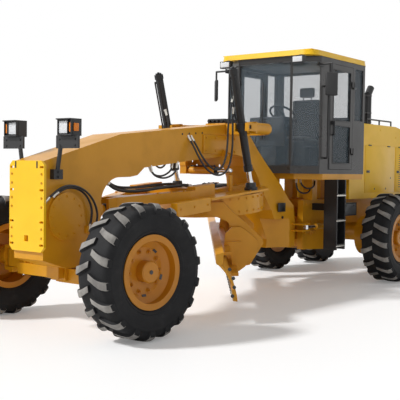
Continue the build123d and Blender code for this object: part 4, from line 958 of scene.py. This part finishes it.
# tandem cases: a bolt circle at each wheel and a bolted cover between the wheels
tandem = {
    "wheelsAt": (-1.9, -3.44), "height": 0.675, "bolts": 10, "radius": 0.215, "start": 0.2, "face": 0.86,
    "cover": ((-2.92, 0.858, 0.86), (-2.42, 0.868, 0.96)), "coverBolts": (-2.88, -2.67, -2.46),
}
treadBm, boltBm, caseBm = bmesh.new(), bmesh.new(), bmesh.new()
for way in ways:
    for z in ladder["treads"]:
        for x in ladder["strips"]:
            strip = (x - 0.012, way * 0.725, z - 0.001), (x + 0.012, way * 0.9, z + 0.005)
            addBox(treadBm, *strip, edge=0.002)
        addBox(treadBm, (-0.76, way * 0.9045, z - 0.02), (-0.49, way * 0.9075, z - 0.004))
    for z in ladder["bolts"][1]:
        for x in ladder["bolts"][0]:
            addBolt(boltBm, (x, way * ladder["face"], z), (0, way, 0), 0.008, 0.007)
    addBox(boltBm, *onSide(way, ladder["lid"]), edge=0.004)
    for x in ladder["latches"]:
        addBox(boltBm, (x - 0.02, way * 0.864, 1.165), (x + 0.02, way * 0.874, 1.195), edge=0.003)
    for wheelX in tandem["wheelsAt"]:
        for x, z in ringSpots(tandem["bolts"], tandem["radius"], tandem["start"]):
            at = (wheelX + x, way * tandem["face"], tandem["height"] + z)
            addBolt(caseBm, at, (0, way, 0), 0.012, 0.013)
    addBox(caseBm, *onSide(way, tandem["cover"]), edge=0.004)
    for x in tandem["coverBolts"]:
        addBolt(caseBm, (x, way * 0.867, 0.91), (0, way, 0), 0.01, 0.01)
makePiece("ladderTreads", treadBm, "rod_chrome", "rear_frame", ("zinc",))
makePiece("ladderBolts", boltBm, "black_steel", "rear_frame")
makePiece("tandemBolts", caseBm, "yellow_paint", "rear_frame")

# front axle: kingpin caps with their bolts, and the bolts on top of the beam
axle = {
    "x": 3.81, "kingpin": 0.866, "caps": (0.757, 0.805), "capRadius": 0.044, "boltCircle": 0.036,
    "boltFoot": 0.815, "beamBolts": ((3.76, 3.86), (0.3, 0.5, 0.66), 0.62),
}
bm = bmesh.new()
x = axle["x"]
for way in ways:
    y = way * axle["kingpin"]
    for z in axle["caps"]:
        addRod(bm, (x, y, z - 0.006), (x, y, z + 0.012), axle["capRadius"], 20)
    for dx, dy in ringSpots(4, axle["boltCircle"], pi / 4):
        addBolt(bm, (x + dx, y + dy, axle["boltFoot"]), (0, 0, 1), 0.006, 0.008)
xs, ys, z = axle["beamBolts"]
for way in ways:
    for x in xs:
        for y in ys:
            addBolt(bm, (x, way * y, z), (0, 0, 1), 0.01, 0.01)
makePiece("axleBolts", bm, "yellow_paint", "front_frame")
print("running gear dressed")

# the photograph's camera: place in metres, angles in degrees, lens in millimetres
camera = {
    "place": (9.785, 6.395, 1.684), "yaw": 217.667, "pitch": -2.187, "roll": 0.802, "lens": 73.26,
    "sensor": 36, "clip": 200,
}
yaw, pitchDown, roll = (radians(camera[k]) for k in ("yaw", "pitch", "roll"))
look = Vector((cos(pitchDown) * cos(yaw), cos(pitchDown) * sin(yaw), sin(pitchDown)))
right = look.cross(Vector((0, 0, 1))).normalized()
up = right.cross(look)
rightRolled = cos(roll) * right + sin(roll) * up
upRolled = -sin(roll) * right + cos(roll) * up
lens = bpy.data.cameras.new("photoCamera")
lens.lens = camera["lens"]
lens.sensor_width = camera["sensor"]
lens.clip_end = camera["clip"]
photoCamera = addObject("photoCamera", lens)
turned = Matrix((rightRolled, upRolled, -look)).transposed().to_4x4()
photoCamera.matrix_world = Matrix.Translation(camera["place"]) @ turned
bpy.context.scene.camera = photoCamera

# floor, pale surroundings, the sun from the front right and one soft lamp
studio = {
    "floor": 90, "floorColour": (0.9, 0.9, 0.9), "floorGlow": 0.17, "background": 1.0, "fill": 0.31,
    "sunFrom": (7.0, -5.2, 8.0), "sunPower": 2.75, "sunAngle": 8,
    "lampAt": (9.0, 9.0, 5.0), "lampSize": 5.0, "lampPower": 90, "lampAim": (0.5, 0, 1.2),
}
bm = bmesh.new()
bmesh.ops.create_grid(bm, x_segments=1, y_segments=1, size=studio["floor"])
floorMesh = asMesh(bm, "floor")
floor = addObject("floor", floorMesh)
floorMaterial, floorTree, floorShader = newMaterial("floorPaint", studio["floorColour"], 0.6)
floorRays = addNode(floorTree, "ShaderNodeLightPath")
floorGlow = addNode(floorTree, "ShaderNodeMath", operation="MULTIPLY")
floorGlow.inputs[1].default_value = studio["floorGlow"]
floorTree.links.new(floorRays.outputs["Is Camera Ray"], floorGlow.inputs[0])
floorTree.links.new(floorGlow.outputs[0], floorShader.inputs["Emission Strength"])
floorShader.inputs["Emission Color"].default_value = (1, 1, 1, 1)
floorMesh.materials.append(floorMaterial)
world = bpy.data.worlds.new("studio")
bpy.context.scene.world = world
world.use_nodes = True
worldTree = world.node_tree
background = worldTree.nodes["Background"]
output = worldTree.nodes["World Output"]
background.inputs["Strength"].default_value = studio["fill"]
background.inputs["Color"].default_value = (1, 1, 1, 1)
seen = addNode(worldTree, "ShaderNodeBackground", Strength=studio["background"], Color=(1, 1, 1, 1))
rays = addNode(worldTree, "ShaderNodeLightPath")
mixed = addNode(worldTree, "ShaderNodeMixShader")
anyRay = addNode(worldTree, "ShaderNodeMath", operation="MAXIMUM")
eitherRay = addNode(worldTree, "ShaderNodeMath", operation="MAXIMUM")
for source, target in (
    (rays.outputs["Is Glossy Ray"], eitherRay.inputs[0]),
    (rays.outputs["Is Transmission Ray"], eitherRay.inputs[1]),
    (eitherRay.outputs[0], anyRay.inputs[0]), (rays.outputs["Is Camera Ray"], anyRay.inputs[1]),
    (anyRay.outputs[0], mixed.inputs[0]), (background.outputs[0], mixed.inputs[1]),
    (seen.outputs[0], mixed.inputs[2]), (mixed.outputs[0], output.inputs["Surface"]),
):
    worldTree.links.new(source, target)


def placeLight(light, place, aim):
    turned = (Vector(aim) - Vector(place)).to_track_quat("-Z", "Y").to_matrix().to_4x4()
    addObject(light.name, light).matrix_world = Matrix.Translation(place) @ turned


lamp = bpy.data.lights.new("lamp", "AREA")
lamp.size, lamp.energy = studio["lampSize"], studio["lampPower"]
placeLight(lamp, studio["lampAt"], studio["lampAim"])
sun = bpy.data.lights.new("sun", "SUN")
sun.energy, sun.angle = studio["sunPower"], radians(studio["sunAngle"])
placeLight(sun, studio["sunFrom"], (0, 0, 0))
bpy.context.scene.view_settings.view_transform = "Standard"
print("camera and lamps set")
